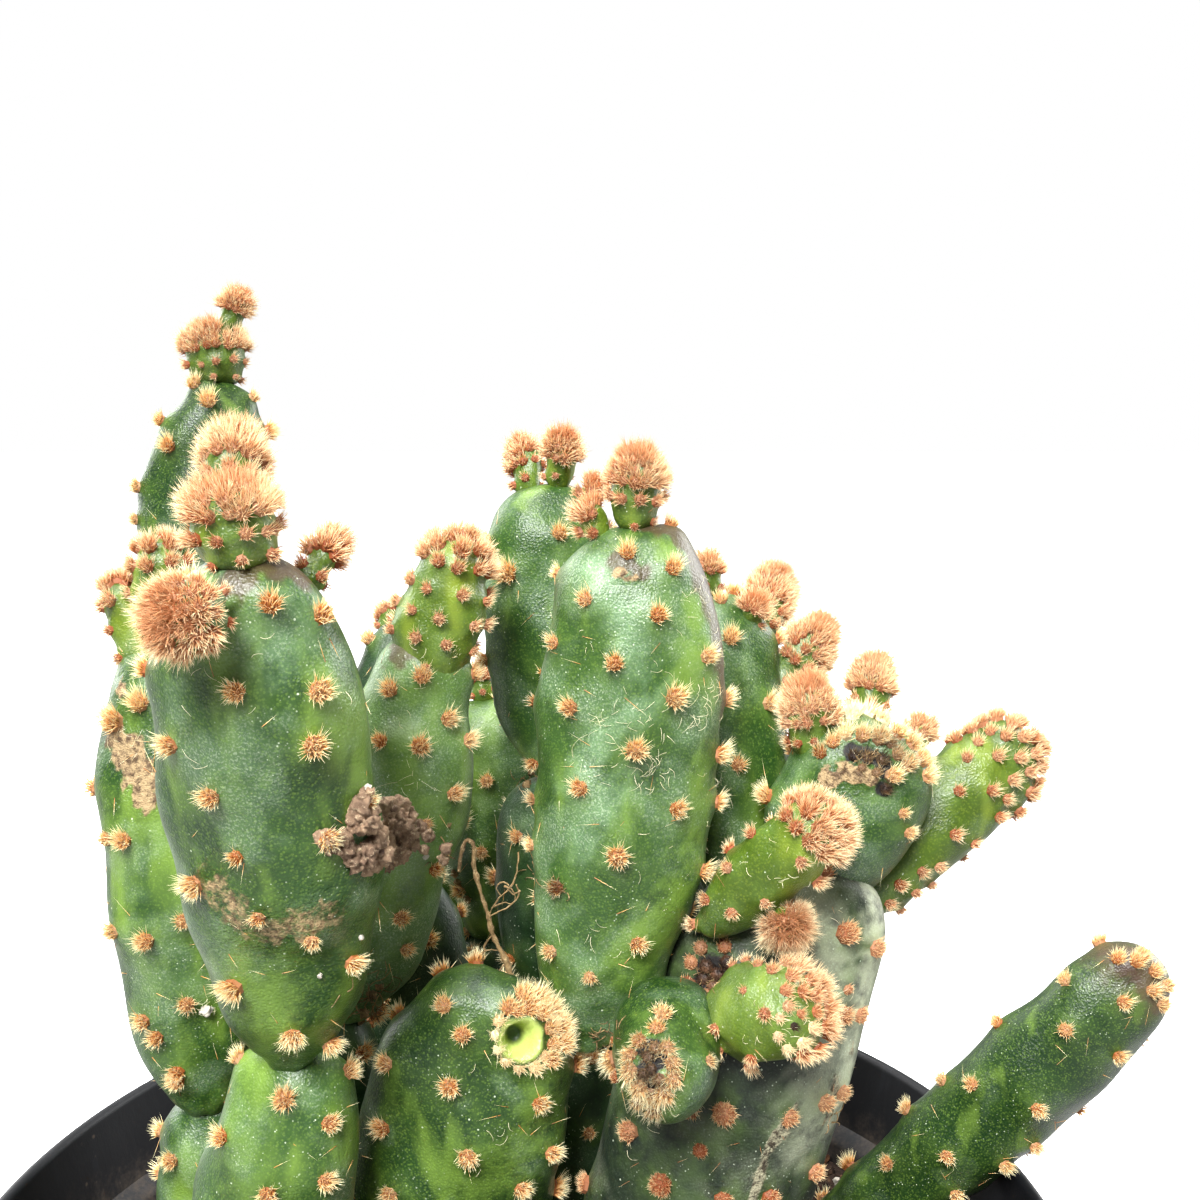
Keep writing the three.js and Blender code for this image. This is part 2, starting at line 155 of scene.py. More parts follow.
class Graph:
    """Builds the nodes of one tree, for a material or for geometry."""

    def __init__(self, tree: bpy.types.NodeTree) -> None:
        """Keeps the tree and empties it."""
        self.tree = tree
        tree.nodes.clear()

    @staticmethod
    def pick(sockets: Any, key: int | str) -> bpy.types.NodeSocket:
        """The socket with that number, or the one in use with that name."""
        if isinstance(key, int):
            return sockets[key]
        return next(s for s in sockets if s.name == key and s.enabled)

    def add(
        self,
        kind: str,
        settings: Mapping[str, Any] | None = None,
        values: Mapping[int | str, Any] | None = None,
        output: int | str | None = None,
    ) -> Wire:
        """Adds a node: its settings first, then its inputs.

        Args:
            kind: The node's type.
            settings: Its properties, and stops for a ramp.
            values: A value or a wire for each input, by name or number.
            output: The output to return, or None for the first in use.

        Returns:
            That output.
        """
        node = self.tree.nodes.new(kind)
        for name, setting in (settings or {}).items():
            if name == "stops":
                self._set_stops(node.color_ramp, setting)
            else:
                setattr(node, name, setting)
        for key, value in (values or {}).items():
            socket = self.pick(node.inputs, key)
            if isinstance(value, Wire):
                self.tree.links.new(value.socket, socket)
            else:
                socket.default_value = value
        if not node.outputs:
            return Wire(self, None)
        if output is None:
            return Wire(self, next(s for s in node.outputs if s.enabled))
        return Wire(self, self.pick(node.outputs, output))

    @staticmethod
    def _set_stops(ramp: bpy.types.ColorRamp, stops: Sequence[tuple[float, Any]]) -> None:
        """Gives a ramp its places and colours."""
        for _ in range(len(stops) - len(ramp.elements)):
            ramp.elements.new(1.0)
        for element, (place, colour) in zip(ramp.elements, stops):
            element.position = place
            element.color = colour

    def mix(self, factor: Any, first: Any, second: Any) -> Wire:
        """Mixes two colours; the factor says how much of the second shows."""
        settings = {"data_type": "RGBA", "blend_type": "MIX", "clamp_factor": True}
        return self.add("ShaderNodeMix", settings, {"Factor": factor, "A": first, "B": second})

    def layered(self, colour: Any, *layers: tuple[Any, Any]) -> Wire:
        """A colour with others laid over it in turn, each with how much of it shows."""
        for factor, upper in layers:
            colour = self.mix(factor, colour, upper)
        return colour

    def noise(self, place: Wire, size: float, detail: float = 3.0, rough: float = 0.55) -> Wire:
        """A noise of about 0 to 1, with features of a size in millimetres and finer layers on it."""
        values = {"Vector": place, "Scale": 1 / (size * MM), "Detail": detail, "Roughness": rough}
        return self.add("ShaderNodeTexNoise", {}, values, "Fac")

    def cells(self, place: Wire, size: float) -> Wire:
        """How far each place is from the middle of its cell, whose size is in millimetres."""
        values = {"Vector": place, "Scale": 1 / (size * MM)}
        return self.add("ShaderNodeTexVoronoi", {"feature": "F1"}, values, "Distance")

    def attribute(self, name: str) -> Wire:
        """A number that the mesh holds for each point."""
        return self.add("ShaderNodeAttribute", {"attribute_name": name}, {}, "Fac")

    def squeeze(self, place: Wire, scale: Triple) -> Wire:
        """Coordinates that are scaled along each axis."""
        return self.add("ShaderNodeMapping", {"vector_type": "POINT"}, {"Vector": place, "Scale": scale})

    def bump(self, height: Wire, depth: float, strength: float = 1.0, under: Wire | None = None) -> Wire:
        """A bump normal.

        Args:
            height, depth: The height, 0 to 1, and how deep that range is in millimetres.
            strength, under: How much of it shows, and a coarser bump below it.

        Returns:
            The normal.
        """
        values = {"Height": height, "Distance": depth * MM, "Strength": strength}
        if under is not None:
            values["Normal"] = under
        return self.add("ShaderNodeBump", {}, values)


def new_material(name: str, build: Callable[[Graph, Wire], Mapping[str, Any]]) -> bpy.types.Material:
    """A material with one surface shader.

    Args:
        name: Its name.
        build: Takes the graph and the coordinates, and returns the shader's inputs.

    Returns:
        The material.
    """
    material = bpy.data.materials.new(name)
    material.use_nodes = True
    graph = Graph(material.node_tree)
    place = graph.add("ShaderNodeTexCoord", output="Object")
    shader = graph.add("ShaderNodeBsdfPrincipled", {}, build(graph, place))
    graph.add("ShaderNodeOutputMaterial", {}, {"Surface": shader})
    return material


@dataclass(frozen=True)
class Finish:
    """The look of a piece, which its material carries."""

    name: str

    @cache
    def material(self) -> bpy.types.Material:
        """The finish's material, made once."""
        return new_material(self.name, self._surface)

    def _surface(self, graph: Graph, place: Wire) -> dict[str, Any]:
        """The shader's inputs."""
        raise NotImplementedError


@dataclass(frozen=True)
class SkinFinish(Finish):
    """The skin of a stem segment: mottled green with pale flecks, blushed at the tip, corky in places."""

    deep: Colour
    body: Colour
    light: Colour
    # How strongly random patches of painted highlight, with painted glints, show over the skin.
    bloom: float
    blush: Colour = srgb(74, 48, 42)
    halo: Colour = srgb(96, 124, 52)
    cork: Colour = srgb(166, 142, 104)
    cork_dark: Colour = srgb(92, 72, 50)
    char: Colour = srgb(14, 10, 8)
    torn: Colour = srgb(172, 188, 98)
    # The colour of the real pale flecks, and of the painted glints in highlight patches.
    fleck: Colour = srgb(214, 226, 200)
    # The pale colour of painted highlight patches.
    haze: Colour = srgb(142, 178, 136)
    # Painted shade: dark green at the bottom of a torn scar's hollow.
    hollow: Colour = srgb(38, 64, 22)
    roughness: float = 0.36

    def _surface(self, graph: Graph, place: Wire) -> dict[str, Any]:
        """The shader's inputs."""
        given = graph.attribute
        mottle = graph.noise(place, 2.2, 3, 0.62)
        grain = graph.noise(place, 0.34, 2, 0.7)
        pores = graph.cells(place, 0.2)
        sparkle = graph.noise(place, 0.15, 2, 0.6)
        crumble = graph.noise(place, 0.9, 3, 0.6)
        tone, torn = given("tone"), given("torn")
        shade = graph.noise(place, 9, 3) * 0.9 + mottle * 0.6 - 0.3 + tone
        streak = graph.noise(graph.squeeze(place, (1, 1, 0.3)), 3.4, 2)
        speckle = (pores.step(0.62, 0.25) * grain.step(0.35, 0.65)).clamp()
        # Painted highlight: pale patches where the painted-highlight marks lie.
        pale = given("bloom") * mottle.step(0.2, 0.6)
        # Painted highlight: random patches of pale sheen, with glints, over the skin.
        painted_glints = (graph.noise(place, 5.0, 2, 0.55).step(0.44, 0.68) + tone * 1.6).clamp() * self.bloom
        blush = (given("blush") * 1.2 + mottle * 0.8 - 0.5).step(0.1, 0.8)
        cork = (given("cork") * 1.3 + grain * 0.5 + crumble * 0.8 - 1.05).step(0.08, 0.4)
        cork_tone = graph.mix(graph.noise(place, 0.7, 3, 0.7).step(0.42, 0.62), self.cork, self.cork_dark)
        char = (given("char") * 1.2 + grain * 0.4 + crumble * 1.1 - 1.05).step(0.08, 0.5)
        colour = graph.layered(
            self.deep,
            (shade.clamp(), self.body),
            ((streak.step(0.5, 0.74) * 0.6 + tone * 0.6).clamp(), self.light),
            (speckle * 0.3, self.light),
            # Painted highlight patches, then painted glints within them.
            ((painted_glints * 0.5 + pale * 0.8).clamp(), self.haze),
            (((painted_glints + pale * 0.4) * sparkle.step(0.46, 0.7) * 0.7).clamp(), self.fleck),
            (given("warm") * mottle.step(0.25, 0.6) * 0.56, self.light),
            (given("halo") * 0.42 * mottle.step(0.3, 0.7), self.halo),
            (blush * 0.74, self.blush),
            (self._flecks(graph, place), self.fleck),
            (cork, cork_tone),
            (torn.step(0.1, 0.5), self.torn),
            # Painted shade in the torn scar's hollow.
            (torn.step(0.72, 0.96), self.hollow),
            (char, self.char),
        )
        rough = (self.roughness + grain * 0.2 - 0.1 + cork * 0.35 + char * 0.3).clamp()
        normal = graph.bump(mottle, 0.14, 0.5)
        normal = graph.bump(pores * 0.7 + sparkle * 0.8, 0.045, 0.9, normal)
        normal = graph.bump(given("cork") * graph.noise(place, 0.35, 2, 0.75), 0.4, 1.0, normal)
        return {"Base Color": colour, "Roughness": rough, "Normal": normal, "Specular IOR Level": 0.42}

    def _flecks(self, graph: Graph, place: Wire) -> Wire:
        """Tiny pale dots, in two sizes, that thin out in patches."""
        patches = graph.noise(place, 5.5, 2).step(0.38, 0.66)
        fine = graph.cells(place, 0.36).step(0.2, 0.1) * graph.noise(place, 0.9, 1).step(0.45, 0.6)
        coarse = graph.cells(place, 1.7).step(0.055, 0.03)
        return (fine * patches * 0.7 + coarse * 0.65).clamp()


@dataclass(frozen=True)
class BristleFinish(Finish):
    """The bristles of a tuft, dark at the root and pale at the tip."""

    root: Colour
    middle: Colour
    tip: Colour
    dirt: Colour = srgb(44, 30, 22)

    def _surface(self, graph: Graph, place: Wire) -> dict[str, Any]:
        """The shader's inputs."""
        core, dirt = graph.attribute("core"), graph.attribute("dirt")
        # The tint holds a random share and, on tufts, painted light: bristles on a cushion's upper side are
        # paler.
        along = graph.attribute("along") * (1.0 - core * 0.55) + graph.attribute("tint") * 0.36 - 0.18
        along = along.clamp()
        stops = ((0.0, self.root), (0.3, self.middle), (0.72, self.tip))
        colour = graph.add("ShaderNodeValToRGB", {"stops": stops}, {"Fac": along}, "Color")
        colour = graph.layered(
            colour,
            (0.4 * graph.noise(place, 6, 3).step(0.35, 0.7), graph.mix(0.5, colour, self.tip)),
            (core * 0.5, self.middle),
            ((dirt * (0.4 + graph.noise(place, 1.1, 2))).clamp(), self.dirt),
            ((dirt * -0.8).clamp(), self.tip),
        )
        return {"Base Color": colour, "Roughness": (0.6 - along * 0.2).clamp(), "Specular IOR Level": 0.35}


@dataclass(frozen=True)
class PotFinish(Finish):
    """Near-black moulded plastic with a soft gloss, faint streaks down the wall and dust inside."""

    name: str = "pot_plastic"
    body: Colour = srgb(15, 16, 19)
    worn: Colour = srgb(34, 37, 43)
    dust: Colour = srgb(88, 76, 64)

    def _surface(self, graph: Graph, place: Wire) -> dict[str, Any]:
        """The shader's inputs."""
        streak = graph.noise(graph.squeeze(place, (1, 1, 0.05)), 1.6, 5, 0.6)
        cloud = graph.noise(place, 16, 4)
        grain = graph.noise(place, 0.35, 3, 0.6)
        dust = graph.attribute("dust") * (graph.noise(place, 2.2, 5, 0.7) + grain * 0.4 - 0.2)
        specks = graph.cells(place, 1.9).step(0.13, 0.07) * graph.noise(place, 7, 2).step(0.5, 0.66)
        dust = (dust.step(0.28, 0.8) * 0.55 + specks * 0.5).clamp()
        worn = streak.step(0.52, 0.8) * cloud.step(0.35, 0.7)
        colour = graph.layered(self.body, (worn, self.worn), (dust, self.dust))
        normal = graph.bump(grain, 0.02, 0.6, graph.bump(streak, 0.06, 0.5))
        rough = (0.38 + cloud * 0.16 + streak * 0.1 + dust * 0.4).clamp()
        return {"Base Color": colour, "Roughness": rough, "Normal": normal, "Specular IOR Level": 0.3}


@dataclass(frozen=True)
class LitterFinish(Finish):
    """Dry plant matter: soil, bark, grit or root, tinted piece by piece."""

    dark: Colour
    body: Colour
    light: Colour
    pale: Colour = srgb(206, 198, 184)
    grain: float = 0.6

    def _surface(self, graph: Graph, place: Wire) -> dict[str, Any]:
        """The shader's inputs."""
        tint = graph.attribute("tint")
        coarse = graph.noise(place, self.grain * 3, 5, 0.65)
        fine = graph.noise(place, self.grain, 5, 0.7)
        fibre = graph.noise(graph.squeeze(place, (1, 3, 1)), self.grain * 0.7, 4, 0.7)
        colour = graph.layered(
            self.dark,
            ((coarse * 1.3 - 0.25 + (tint - 0.5) * 0.5).clamp(), self.body),
            (fine.step(0.5, 0.78) * 0.8, self.light),
            (tint.step(0.955, 0.975), self.pale),
        )
        normal = graph.bump(fibre, self.grain * 0.25, 0.8, graph.bump(fine, self.grain * 0.5, 0.9))
        rough = (0.78 + fine * 0.2).clamp()
        return {"Base Color": colour, "Roughness": rough, "Normal": normal, "Specular IOR Level": 0.25}


@dataclass(frozen=True)
class TuftStyle:
    """The sizes of one kind of tuft, in millimetres."""

    name: str
    finish: BristleFinish
    cushion: float
    length: float
    width: float
    count: int
    splay: float


@dataclass(frozen=True)
class Habit:
    """How segments of one age grow: their relief, the spacing of their areoles, their tufts and skin."""

    skin: SkinFinish
    tufts: TuftStyle
    spacing: float
    crowd_from: float
    crowd_spacing: float
    mound: float
    mound_radius: float
    wave: float
    wave_length: float
    rings: int
    sides: int
    mop: float = 1.0
    wool: float = 0.0

    def spacing_at(self, share: float) -> float:
        """The spacing of areoles at a share of a segment's length."""
        if share < self.crowd_from:
            return self.spacing
        return self.spacing + (self.crowd_spacing - self.spacing) * self.crowding(share)

    def crowding(self, share: float) -> float:
        """How crowded the areoles are at a share of a segment's length, 0 to 1."""
        return min(1.0, max(0.0, 2.2 * (share - self.crowd_from) / (1 - self.crowd_from)))


CINNAMON = BristleFinish("bristles_cinnamon", srgb(142, 78, 32), srgb(232, 168, 90), srgb(255, 246, 200))
RUST = BristleFinish("bristles_rust", srgb(130, 68, 36), srgb(204, 134, 82), srgb(244, 218, 170))
CORAL = BristleFinish("bristles_coral", srgb(136, 68, 36), srgb(208, 140, 88), srgb(250, 232, 188))
IVORY = BristleFinish("bristles_ivory", srgb(196, 182, 132), srgb(220, 210, 166), srgb(240, 234, 204))

TUFTS_GROWN = TuftStyle("grown", CINNAMON, 0.62, 0.94, 0.033, 220, 0.42)
TUFTS_OLD = TuftStyle("old", RUST, 0.78, 0.54, 0.028, 270, 0.42)
TUFTS_YOUNG = TuftStyle("young", CORAL, 0.46, 0.68, 0.029, 120, 0.42)
TUFTS_BUD = TuftStyle("bud", CORAL, 0.38, 0.54, 0.025, 70, 0.45)

GREEN = SkinFinish("skin_green", srgb(19, 44, 15), srgb(48, 84, 29), srgb(124, 156, 60), 0.36)
# Painted shade: a darker copy of the green skin for segments that stand in the clump's shade.
PAINTED_SHADE_GREEN = SkinFinish("skin_dark", srgb(8, 24, 12), srgb(24, 52, 26), srgb(54, 84, 44), 0.16)
GREY = SkinFinish(
    "skin_grey", srgb(14, 22, 16), srgb(32, 43, 31), srgb(66, 80, 60), 0.16,
    # The trunk's painted highlights are a pale grey-green.
    haze=srgb(196, 202, 172), cork=srgb(150, 146, 120), cork_dark=srgb(64, 56, 42), roughness=0.46,
)
LIGHT = SkinFinish("skin_light", srgb(44, 62, 12), srgb(78, 104, 22), srgb(134, 152, 46), 0.16)


class Age(Enum):
    """The kinds of segment in the clump."""

    GROWN = Habit(GREEN, TUFTS_GROWN, 6.2, 0.8, 4.4, 0.38, 1.5, 0.3, 8.5, 66, 56)
    # Segments deep in the clump, which wear the darker skin of painted shade.
    SHADED = Habit(PAINTED_SHADE_GREEN, TUFTS_GROWN, 6.4, 0.85, 4.6, 0.34, 1.5, 0.26, 8.5, 44, 36)
    OLD = Habit(GREY, TUFTS_OLD, 6.9, 0.9, 5.4, 0.3, 1.7, 0.34, 10.0, 90, 80)
    YOUNG = Habit(LIGHT, TUFTS_YOUNG, 3.7, 0.66, 1.5, 0.34, 1.0, 0.16, 5.0, 52, 42, mop=1.14, wool=0.4)
    SPROUT = Habit(LIGHT, TUFTS_YOUNG, 2.5, 0.7, 1.7, 0.34, 1.0, 0.16, 4.0, 44, 36, mop=1.1, wool=0.35)
    BUD = Habit(LIGHT, TUFTS_BUD, 2.3, 0.34, 1.15, 0.28, 0.8, 0.14, 3.2, 30, 26, mop=1.42, wool=0.75)
    WOOLLY = Habit(LIGHT, TUFTS_BUD, 1.2, 0.0, 1.0, 0.2, 0.8, 0.14, 3.2, 26, 24, mop=1.5, wool=0.7)


def run_of(line: Array) -> Array:
    """How far along a line each of its points lies."""
    return np.concatenate(([0], np.cumsum(np.linalg.norm(np.diff(line, axis=0), axis=1))))


@dataclass(frozen=True)
class Segment:
    """One grown segment, oval in section along a guide line. Places are above the soil's surface."""

    name: str
    base: Triple
    tip: Triple
    width: float
    thickness: float
    age: Age = Age.GROWN
    bow: Triple | None = None
    turn: float = 0.0
    widest: float = 0.6
    fullness: float = 2.6
    tone: float = 0.0
    blush: float = 0.0
    dirt: float = 0.0
    detail: float = 1.0

    def guide(self, share: Array) -> tuple[Array, Array]:
        """The guide line's points and unit directions at shares of its length."""
        lift = np.array((0.0, 0.0, SOIL_LEVEL))
        start, end = np.array(self.base) + lift, np.array(self.tip) + lift
        middle = np.array(self.bow) + lift if self.bow else (start + end) / 2
        t = np.asarray(share, float)[:, None]
        points = (1 - t) ** 2 * start + 2 * t * (1 - t) * middle + t**2 * end
        along = 2 * (1 - t) * (middle - start) + 2 * t * (end - middle)
        return points, along / np.linalg.norm(along, axis=1, keepdims=True)

    def length(self) -> float:
        """The guide line's length."""
        return run_of(self.guide(np.linspace(0, 1, 25))[0])[-1]

    def breadth(self, share: Array) -> Array:
        """How broad the segment is at each share, as a share of its broadest section."""
        evened = np.asarray(share, float) ** (math.log(0.5) / math.log(self.widest))
        return (1 - np.abs(2 * evened - 1) ** self.fullness) ** (1 / self.fullness)

    def surface(self, share: Array, angle: Array) -> Array:
        """Points on the segment.

        Args:
            share: Shares of its length.
            angle: Angles about the guide line, one for each share.

        Returns:
            The points, one row for each.
        """
        centre, along = self.guide(share)
        across = np.cross((0.0, 1.0, 0.0), along)
        across /= np.linalg.norm(across, axis=1, keepdims=True)
        through = np.cross(along, across)
        turn = math.radians(self.turn)
        across, through = (
            math.cos(turn) * across + math.sin(turn) * through,
            math.cos(turn) * through - math.sin(turn) * across,
        )
        breadth = self.breadth(share)[:, None] / 2
        wide = self.width * np.cos(angle)[:, None] * across
        deep = self.thickness * np.sin(angle)[:, None] * through
        return centre + breadth * (wide + deep)

    def normals(self, share: Array, angle: Array) -> Array:
        """The outward normals at points on the segment, found from small steps on it."""
        near = 0.004
        share = np.clip(share, near, 1 - near)
        rise = self.surface(np.minimum(share + near, 1), angle) - self.surface(share - near, angle)
        round_ = self.surface(share, angle + 0.02) - self.surface(share, angle - 0.02)
        normal = np.cross(round_, rise)
        return normal / np.maximum(np.linalg.norm(normal, axis=1, keepdims=True), 1e-9)

    def even_angles(self, share: float, count: int, shift: float) -> Array:
        """Angles that lie evenly along the rim of a section, which is an oval.

        Args:
            share: The section's share of the length.
            count, shift: How many, and how far round they start in steps.

        Returns:
            The angles.
        """
        angle = np.linspace(0, 2 * math.pi, 73)
        run = run_of(self.surface(np.full(angle.size, share), angle))
        return np.interp(((np.arange(count) + shift) / count % 1) * run[-1], run, angle)

    def meridian(self) -> tuple[Array, Array]:
        """Shares of the length, and how far over the surface each lies from the base."""
        share = (1 - np.cos(np.linspace(0, math.pi, 81))) / 2
        sides = [self.surface(share, np.full(share.size, angle)) for angle in np.arange(4) * math.pi / 2]
        return share, np.mean([run_of(side) for side in sides], axis=0)

    def girth(self, share: float) -> float:
        """The length round a section."""
        angle = np.linspace(0, 2 * math.pi, 37)
        return run_of(self.surface(np.full(angle.size, share), angle))[-1]

    def grid(self, rings: int, sides: int) -> tuple[Array, Array, list[tuple[int, ...]]]:
        """A closed grid over the segment.

        Args:
            rings, sides: How many steps along it and round it.

        Returns:
            The shares and angles of its points, poles first and last, and its faces.
        """
        share = (1 - np.cos(math.pi * np.arange(1, rings) / rings)) / 2
        angle = 2 * math.pi * np.arange(sides) / sides
        shares = np.concatenate(([0], np.repeat(share, sides), [1]))
        angles = np.concatenate(([0], np.tile(angle, rings - 1), [0]))
        return shares, angles, closed_grid_faces(rings - 1, sides)

    def tree(self) -> BVHTree:
        """The segment's plain surface, for finding where a line meets it."""
        shares, angles, faces = self.grid(48, 40)
        return BVHTree.FromPolygons(self.surface(shares, angles).tolist(), faces)


def closed_grid_faces(rings: int, sides: int) -> list[tuple[int, ...]]:
    """The faces of rings of points with a pole before the first and after the last.

    Args:
        rings, sides: How many rings, and how many points in each.

    Returns:
        The faces, pointing outwards.
    """
    ring, side = np.meshgrid(np.arange(rings - 1), np.arange(sides), indexing="ij")
    ring, side = ring.ravel(), side.ravel()
    after = (side + 1) % sides
    low, high = 1 + ring * sides, 1 + (ring + 1) * sides
    faces = [tuple(q) for q in np.stack((low + side, low + after, high + after, high + side), 1).tolist()]
    last, top = 1 + (rings - 1) * sides, 1 + rings * sides
    faces += [(0, 1 + (k + 1) % sides, 1 + k) for k in range(sides)]
    faces += [(last + k, last + (k + 1) % sides, top) for k in range(sides)]
    return faces


def stem(name: str, base: Spot, tip: Triple, width: float, thickness: float, **more: Any) -> Segment:
    """A stem that stands in the soil, at a place across and along the pot."""
    return Segment(name, (*base, BURIED), tip, width, thickness, **{"widest": 0.55, **more})


def bud(name: str, base: Triple, tip: Triple, width: float, thickness: float, **more: Any) -> Segment:
    """A small, nearly round segment on a pad's tip or shoulder."""
    kind = {"age": Age.BUD, "widest": 0.5, "fullness": 2.3}
    return Segment(name, base, tip, width, thickness, **{**kind, **more})


STEMS = (
    stem("stem_front_left", (-23.4, -17.4), (-14.2, -20.6, 41), 12, 9, widest=0.6, tone=0.02),
    stem("stem_left", (-24.5, -1), (-25, -8.5, 30), 11, 9, tone=-0.08),
    stem("stem_middle_left", (-14.6, -0.8), (-14.4, -6.6, 37), 8.8, 7.6, age=Age.SHADED),
    stem("stem_front", (-12, -8.5), (-0.2, -13.8, 43), 16.6, 9.6, widest=0.62, tone=-0.26, detail=1.75),
    stem("stem_shaded", (-13, 8), (-10, 5.5, 44), 13, 8.5, turn=12, age=Age.SHADED),
    stem(
        "trunk", (10, -11), (25, -8, 51), 18, 11,
        bow=(14, -12, 24), widest=0.64, fullness=3, age=Age.OLD, tone=-0.1,
    ),
    stem("stem_centre", (7, 5), (6, 4.5, 28), 15, 10, age=Age.SHADED),
    stem("stem_back_left", (-27, 17), (-31, 20, 43), 13, 9, age=Age.SHADED),
    stem("stem_back", (-4, 20), (-3, 17.5, 33), 15, 9.5, age=Age.SHADED),
    stem("stem_back_right", (14, 25), (19, 27, 40), 14.5, 9.5, turn=24, age=Age.SHADED),
    stem(
        "arm", (22, 15.5), (59.4, 7, 35.4), 10.8, 8.8,
        bow=(42, 10, 10.6), widest=0.72, tone=-0.5, blush=0.5,
    ),
)
PADS = (
    Segment(
        "pad_front_left", (-14.8, -20.9, 38.5), (-14, -30.5, 78), 13.9, 9.5,
        bow=(-13.2, -25.6, 57), widest=0.63, fullness=2.35, tone=-0.06,
    ),
    Segment("pad_left", (-25, -9, 28.5), (-27.3, -5, 67), 11.8, 9, bow=(-26.6, -9, 48), tone=-0.06),
    Segment(
        "pad_middle_left", (-14, -7.2, 36), (-6.2, -6.9, 68.5), 9.8, 8,
        bow=(-8.4, -7, 49), tone=0.2, blush=0.2,
    ),
    Segment(
        "pad_centre", (5.8, -12.2, 36), (9.9, -9, 77.5), 14, 9.5,
        bow=(10.8, -10.8, 57), detail=1.3, tone=0.04,
    ),
    Segment("pad_centre_lower", (6, 4.5, 26.5), (4, 3.5, 54), 13, 8.5, Age.SHADED),
    Segment("pad_centre_back", (3.8, 3, 52.5), (3, 6, 79.5), 12.4, 8.2, fullness=2.25),
    Segment("pad_back", (-3, 17.5, 31.5), (-3.4, 18.5, 57), 12, 8.5, tone=0.02),
    Segment("pad_shaded_tip", (-10, 6, 42), (-12, 15, 65.5), 9, 7, Age.SHADED, turn=30),
    Segment("pad_back_left", (-31.3, 20, 41.5), (-30.6, 24, 88.5), 13, 9, bow=(-34.5, 21.5, 64), tone=-0.28),
    Segment("pad_right_rear", (18.6, -4, 44.6), (17.6, 3, 70), 10.2, 8),
    Segment("pad_back_right", (19, 27, 38.5), (22, 24, 60), 11, 7.8, turn=50),
    Segment("pad_rear_left", (-28.5, 20, 29), (-35, 30, 50), 10.4, 7.6, turn=40),
    Segment("pad_rear_middle", (-6, 21, 23), (-14.5, 27.5, 43.5), 10.6, 7.6, turn=28),
    Segment("pad_rear_right", (14.6, 28, 20), (9, 35.4, 39), 9.8, 7.4, turn=-30),
    Segment("pad_right_round", (23.6, -7.4, 47.4), (31, -4.8, 60.3), 11.6, 10, widest=0.56, tone=-0.1),
    Segment("pad_right_light", (25.6, -4.6, 43), (44.5, 0.7, 58.5), 8.6, 7.4, Age.YOUNG, tone=-0.1),
    Segment("pad_upper_light", (15, -13, 46.2), (24.4, -16.8, 57.6), 6.4, 5.8, Age.YOUNG),
    Segment("pad_lower_light", (15.5, -14.8, 39.6), (22.8, -20.8, 44.4), 8, 7, Age.YOUNG, tone=0.12),
    Segment("pad_knob", (13.2, -13, 40.8), (11.7, -24, 38.6), 8.2, 7.2, widest=0.5, tone=-0.2, dirt=0.3),
    Segment(
        "pad_middle_left_tip", (-7.2, -6.9, 62.5), (-3.2, -6.6, 76.6), 7.2, 6.2, Age.SPROUT,
        widest=0.5, fullness=2.2,
    ),
)
BUDS = (
    bud("bud_front_left_crown", (-14, -30.2, 76.4), (-14.7, -30.8, 82.9), 6.4, 5.6),
    bud("bud_front_left_peak", (-15, -29.4, 79), (-15.4, -25.4, 85.6), 4.8, 4.6),
    bud("bud_front_left_near", (-14.8, -32.4, 75), (-16.6, -38.2, 75.6), 5, 4.8),
    bud("bud_front_left_far", (-11.6, -28, 74.8), (-9.4, -24, 78.8), 3.2, 3),
    bud("bud_left_tall", (-27.2, -5.2, 65.4), (-28.2, -3.4, 76), 5.2, 5, age=Age.SPROUT),
    bud("bud_left_low", (-28.8, -5.4, 64.8), (-32, -3.4, 72.4), 3.8, 3.6, age=Age.SPROUT),
    bud("bud_centre_crown", (10, -9, 76), (10.4, -9.3, 83.6), 5, 4.8),
    bud("bud_centre_shoulder", (8, -9.2, 75.2), (6.6, -9, 79.8), 3.4, 3.2),
    bud("bud_back_crown", (3.8, 5.6, 78.2), (4.3, 4.8, 84.4), 3.8, 3.6),
    bud("bud_back_far", (1.6, 6.6, 77.6), (0.4, 10.6, 83.4), 3.8, 3.6),
    bud("bud_back_shoulder", (5.4, 4.4, 76.8), (7.6, 2.6, 80.2), 3, 2.8),
    bud("bud_back_rim", (-3.8, 18.6, 55.8), (-4.8, 19.4, 60.6), 3.8, 3.6),
    bud("bud_back_right_crown", (22, 24, 58.8), (22.8, 23.8, 64.8), 4.4, 4.2),
    bud("bud_shaded_rear", (-12.2, 15.8, 63.6), (-13.2, 20, 66.2), 4.2, 4),
    bud("bud_back_left_crown", (-30.6, 24, 87), (-31.2, 24.6, 94.6), 7, 6.2),
    bud("bud_back_left_peak", (-30.4, 24.6, 92), (-28.2, 25, 97.4), 3.8, 3.6),
    bud("bud_rear_crown", (17, 2.8, 68.8), (16.8, 3.6, 73.8), 3.6, 3.6),
    bud("bud_rear_shoulder", (19.4, 1.8, 66.4), (21, 0.6, 70.6), 3.4, 3.2),
    bud("bud_rear_far", (19.2, 4.4, 62.6), (24.2, 11, 71.4), 5.4, 5),
    bud("bud_right_back", (21.6, 1.6, 59.6), (27.4, 3.8, 68), 5.2, 5),
    bud("bud_right_near", (25.4, -6.2, 56.2), (24, -5.4, 65), 5.2, 5),
    bud("bud_right_peak", (29.2, -4, 58.2), (30.8, -0.6, 65.8), 4.4, 4.2),
    bud("bud_right_edge", (32, -4.4, 56.6), (34.6, -3.2, 61), 3.3, 3.2),
    bud("bud_trunk_woolly", (21.4, -13, 47.4), (21.4, -18.2, 49), 4, 4, age=Age.WOOLLY, dirt=0.22),
)

